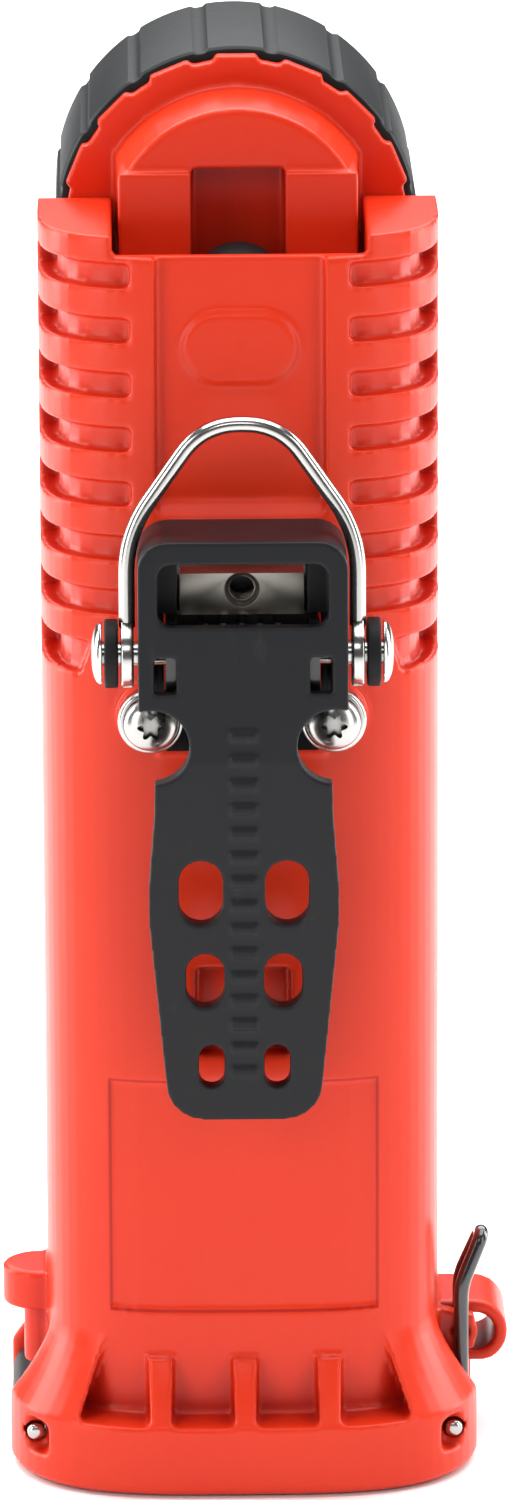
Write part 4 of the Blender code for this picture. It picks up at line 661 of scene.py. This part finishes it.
def makeRing():
    look = ringLook
    half, y = look["half"], pivotPlace[0]
    foot = pivotPlace[1] + look["foot"]
    corners = [(-half, y, foot), (-half, y, look["shoulder"]), (-look["crown"], y, look["top"]),
               (look["crown"], y, look["top"]), (half, y, look["shoulder"]), (half, y, foot)]
    ring = wirePiece("dRing", bentPath(corners, look["bend"], 14), look["wire"], wireSteel, sides=28)
    stands(ring, "d_ring", "stainless_steel", "d_ring")
    eyeInner, eyeOuter, eyeHalf, eyeEase = look["eye"]
    inner, outer, ease = look["washer"]
    for side, word in ((-1, "Left"), (1, "Right")):
        eye = roundedRing(f"ringEye{word}", eyeInner, eyeOuter, side * half - eyeHalf, side * half + eyeHalf,
                          eyeEase, "x", pivotPlace, wireSteel)
        stands(eye, "d_ring", "stainless_steel", "d_ring")
        low, high = sorted(side * reach for reach in look["washerSides"])
        washer = roundedRing(f"pivotWasher{word}", inner, outer, low, high, ease, "x", pivotPlace, rubber)
        stands(washer, "light_body", "black_rubber", f"pivot_washer_{word.lower()}")


# radius and distance from the middle, in millimetres, from the dome inwards
rivetLook = {"half": [(0.05, 18.5), (1.2, 18.47), (2.2, 18.36), (3.0, 18.14), (3.55, 17.85), (3.82, 17.55),
                      (3.9, 17.3), (3.84, 17.2), (1.5, 17.2)]}


def makeRivet():
    half = rivetLook["half"]
    profile = [(r * mm, -x * mm) for r, x in half] + [(r * mm, x * mm) for r, x in reversed(half)]
    rivet = turnedPiece("pivotRivet", profile, "x", pivotPlace, wireSteel, 72, 35)
    stands(rivet, "light_body", "stainless_steel", "pivot_rivet")


makeRing()
makeRivet()

# ---- tapped bar in the clip's window
print("tapped bar")
barLook = {
    "low": 114.6, "high": 119.8, "half": 7.6, "face": -27.6, "back": -22.9, "edge": 0.28,
    "hole": 1.65, "level": 117.72, "pitch": 0.7, "turns": 5, "threadWire": 0.16,
}


def makeBar():
    look = barLook
    half, hole, face = look["half"], look["hole"], look["face"]
    sides = (-half, half, face, look["back"], look["low"], look["high"])
    bar = block("nutBar", *(side * mm for side in sides))
    end = look["back"] + 1.0
    bore = [(hole + 0.7, face - 0.2), (hole + 0.1, face + 0.55), (hole, face + 0.7), (hole, end)]
    bore = [(r * mm, y * mm) for r, y in bore]
    drill = turnedPiece("drill", bore, "y", (0.0, look["level"] * mm), count=64)
    combine(bar, [drill], "DIFFERENCE")
    bevel = bar.modifiers.new("edge", "BEVEL")
    bevel.width = look["edge"] * mm
    bevel.segments = 3
    bevel.limit_method = "ANGLE"
    bevel.angle_limit = math.radians(50)
    settle(bar)
    dressed(bar, barSteel)
    bar.data.shade_smooth()
    bar.data.set_sharp_from_angle(angle=math.radians(30))
    stands(bar, "light_body", "stainless_steel", "nut_bar")
    path, steps = [], 28
    for step in range(look["turns"] * steps + 1):
        angle = 2 * math.pi * step / steps
        reach = (hole - 0.02) * mm
        level = (face + 0.8 + look["pitch"] * step / steps) * mm
        path.append((reach * math.cos(angle), level, look["level"] * mm + reach * math.sin(angle)))
    thread = wirePiece("barThread", path, look["threadWire"] * mm, barSteel, sides=8)
    stands(thread, "light_body", "stainless_steel", "nut_bar")


makeBar()

# ---- domed screws and their cups
print("screws")
screwLook = {
    "side": 11.3, "level": 100.0, "under": -24.5, "dome": 2.4, "rim": 0.45, "radius": 3.3,
    "shank": 1.5, "tip": -17.5, "star": 1.32, "lobe": 0.34, "starDepth": 1.1,
    "cup": [(1.8, -23.9), (1.9, -22.9), (4.0, -22.9), (4.05, -23.05), (4.05, -23.6), (3.95, -23.85),
            (3.7, -24.08), (3.45, -24.18), (3.3, -24.1), (2.6, -23.9)],
}


def makeScrews():
    look = screwLook
    under, radius, rim = look["under"], look["radius"], look["rim"]
    for side, word in ((-1, "Left"), (1, "Right")):
        place = (side * look["side"] * mm, look["level"] * mm)
        head = [(0.05 * mm, (under - look["dome"]) * mm)]
        for step in range(1, 15):
            turn = math.pi / 2 * step / 14
            level = under - rim - (look["dome"] - rim) * math.cos(turn)
            head.append((radius * math.sin(turn) * mm, level * mm))
        head += [(radius * mm, (under - 0.1) * mm), ((radius - 0.12) * mm, under * mm),
                 (look["shank"] * mm, under * mm), (look["shank"] * mm, look["tip"] * mm)]
        screw = turnedPiece(f"domedScrew{word}", head, "y", place, plainSteel, 72)
        star = []
        for step in range(48):
            turn = 2 * math.pi * step / 48
            reach = (look["star"] + look["lobe"] * math.cos(6 * turn)) * mm
            star.append((place[0] + reach * math.cos(turn), place[1] + reach * math.sin(turn)))
        socket = slab("star", star, "y", (under - 4.0) * mm, (under - look["starDepth"]) * mm)
        combine(screw, [socket], "DIFFERENCE")
        screw.data.set_sharp_from_angle(angle=math.radians(35))
        stands(screw, "light_body", "stainless_steel", f"bracket_screw_{word.lower()}")
        cup = [(r * mm, y * mm) for r, y in look["cup"]]
        dish = turnedPiece(f"screwCup{word}", cup, "y", place, plainSteel, 72, 50, closed=True)
        stands(dish, "light_body", "stainless_steel", f"screw_cup_{word.lower()}")


makeScrews()

# ---- wire latch, door, switch and contacts
print("latch, door and switch")
latchLook = {
    "out": 27.65, "near": -8.2, "far": -3.4, "hook": 28.45, "foot": 3.0, "knee": 9.5, "bend": 21.6,
    "top": 27.9, "lean": 2.6, "pinch": 1.1, "wire": 0.95, "curve": 1.6, "axle": 0.75, "axleHeight": 15.0,
}


def makeLatch():
    look = latchLook
    near, far, out = look["near"], look["far"], look["out"]
    lean, pinch, top = out + look["lean"], look["pinch"], look["top"]
    corners = [(look["hook"], near, look["foot"]), (out, near, look["knee"]), (out, near, look["bend"]),
               (lean, near + pinch, top), (lean, far - pinch, top),
               (out, far, look["bend"]), (out, far, look["knee"]), (look["hook"], far, look["foot"])]
    corners = [tuple(side * mm for side in corner) for corner in corners]
    path = bentPath(corners, look["curve"] * mm, 8, closed=True)
    latch = wirePiece("doorLatch", path, look["wire"] * mm, glossBlack, closed=True, sides=24)
    stands(latch, "door_latch", "black_coated_wire", "door_latch")
    ends = [(look["axle"] * mm, near * mm), (look["axle"] * mm, far * mm)]
    axle = turnedPiece("latchAxle", ends, "y", (out * mm, look["axleHeight"] * mm), glossBlack, 32)
    stands(axle, "door_latch", "black_coated_wire", "door_latch")


doorMould = {"voxel": 0.4 * mm, "ease": 3, "keep": 0.5}


def makeDoor():
    door = dressed(copyOf("battery_door", "batteryDoor"), doorBlack)
    moulded(door, doorMould["voxel"], doorMould["ease"], doorMould["keep"])
    stands(door, "battery_door", "black_nylon", "battery_door")


switchLook = {
    "place": (0.0, -9.0 * mm), "top": 157.1, "dome": 5.0, "radius": 5.6,
    "skirt": [(1.5, 144.6), (1.5, 146.7), (6.6, 146.7), (6.6, 148.2)],
}


def makeSwitch():
    look = switchLook
    radius, dome, shoulder = look["radius"], look["dome"], look["top"] - look["dome"]
    profile = look["skirt"] + [(radius, look["skirt"][-1][1]), (radius, shoulder)]
    for step in range(1, 24):
        turn = math.pi / 2 * step / 24
        profile.append((radius * math.cos(turn), shoulder + dome * math.sin(turn)))
    profile.append((0.03, look["top"]))
    cap = turnedPiece("switchCap", [(r * mm, z * mm) for r, z in profile], "z", look["place"], rubber, 96)
    stands(cap, "switch_button", "black_rubber", "switch_button")


contactLook = {
    "side": 26.4 * mm, "height": 5.8 * mm,
    "stud": [(0.05, -18.0), (0.5, -17.98), (0.85, -17.85), (1.05, -17.6), (1.1, -17.3), (1.1, -15.1)],
}


def makeContacts():
    look = contactLook
    stud = [(r * mm, y * mm) for r, y in look["stud"]]
    for side, word in ((-1, "left"), (1, "right")):
        place = (side * look["side"], look["height"])
        piece = turnedPiece(f"chargeStud{word.title()}", stud, "y", place, plainSteel, 40)
        stands(piece, "light_body", "stainless_steel", f"charge_contact_{word}")


makeLatch()
makeDoor()
makeSwitch()
makeContacts()

# ---- lens and reflector
print("lens and reflector")
lensLook = {"back": 32.9 * mm, "front": 35.3 * mm, "radius": 20.6 * mm, "middle": 0.05 * mm}
bowlLook = {
    "bottom": 12.8, "depth": 17.4, "throat": 3.6, "spread": 12.3, "wall": 1.1, "rim": 16.9, "steps": 32,
}


def makeOptics():
    centre = (0.0, headHeight)
    back, front, radius, middle = (lensLook[part] for part in ("back", "front", "radius", "middle"))
    profile = [(middle, back), (radius - 0.2 * mm, back), (radius, back + 0.2 * mm),
               (radius, front - 0.3 * mm), (radius - 0.3 * mm, front), (middle, front)]
    lens = turnedPiece("lensDisc", profile, "y", centre, lensClear, 128, 35)
    stands(lens, "lens_group", "clear_lens", "lens")
    look, inner, outer = bowlLook, [], []
    for step in range(look["steps"] + 1):
        share = step / look["steps"]
        level = (look["bottom"] + look["depth"] * share) * mm
        reach = (look["throat"] + look["spread"] * math.sqrt(share)) * mm
        inner.append((reach, level))
        outer.append((min(reach + look["wall"] * mm, look["rim"] * mm), level))
    bowl = turnedPiece("reflectorBowl", inner + outer[::-1], "y", centre, reflectorCoat, 128, 50, closed=True)
    stands(bowl, "light_body", "reflector_metal", "reflector")


makeOptics()
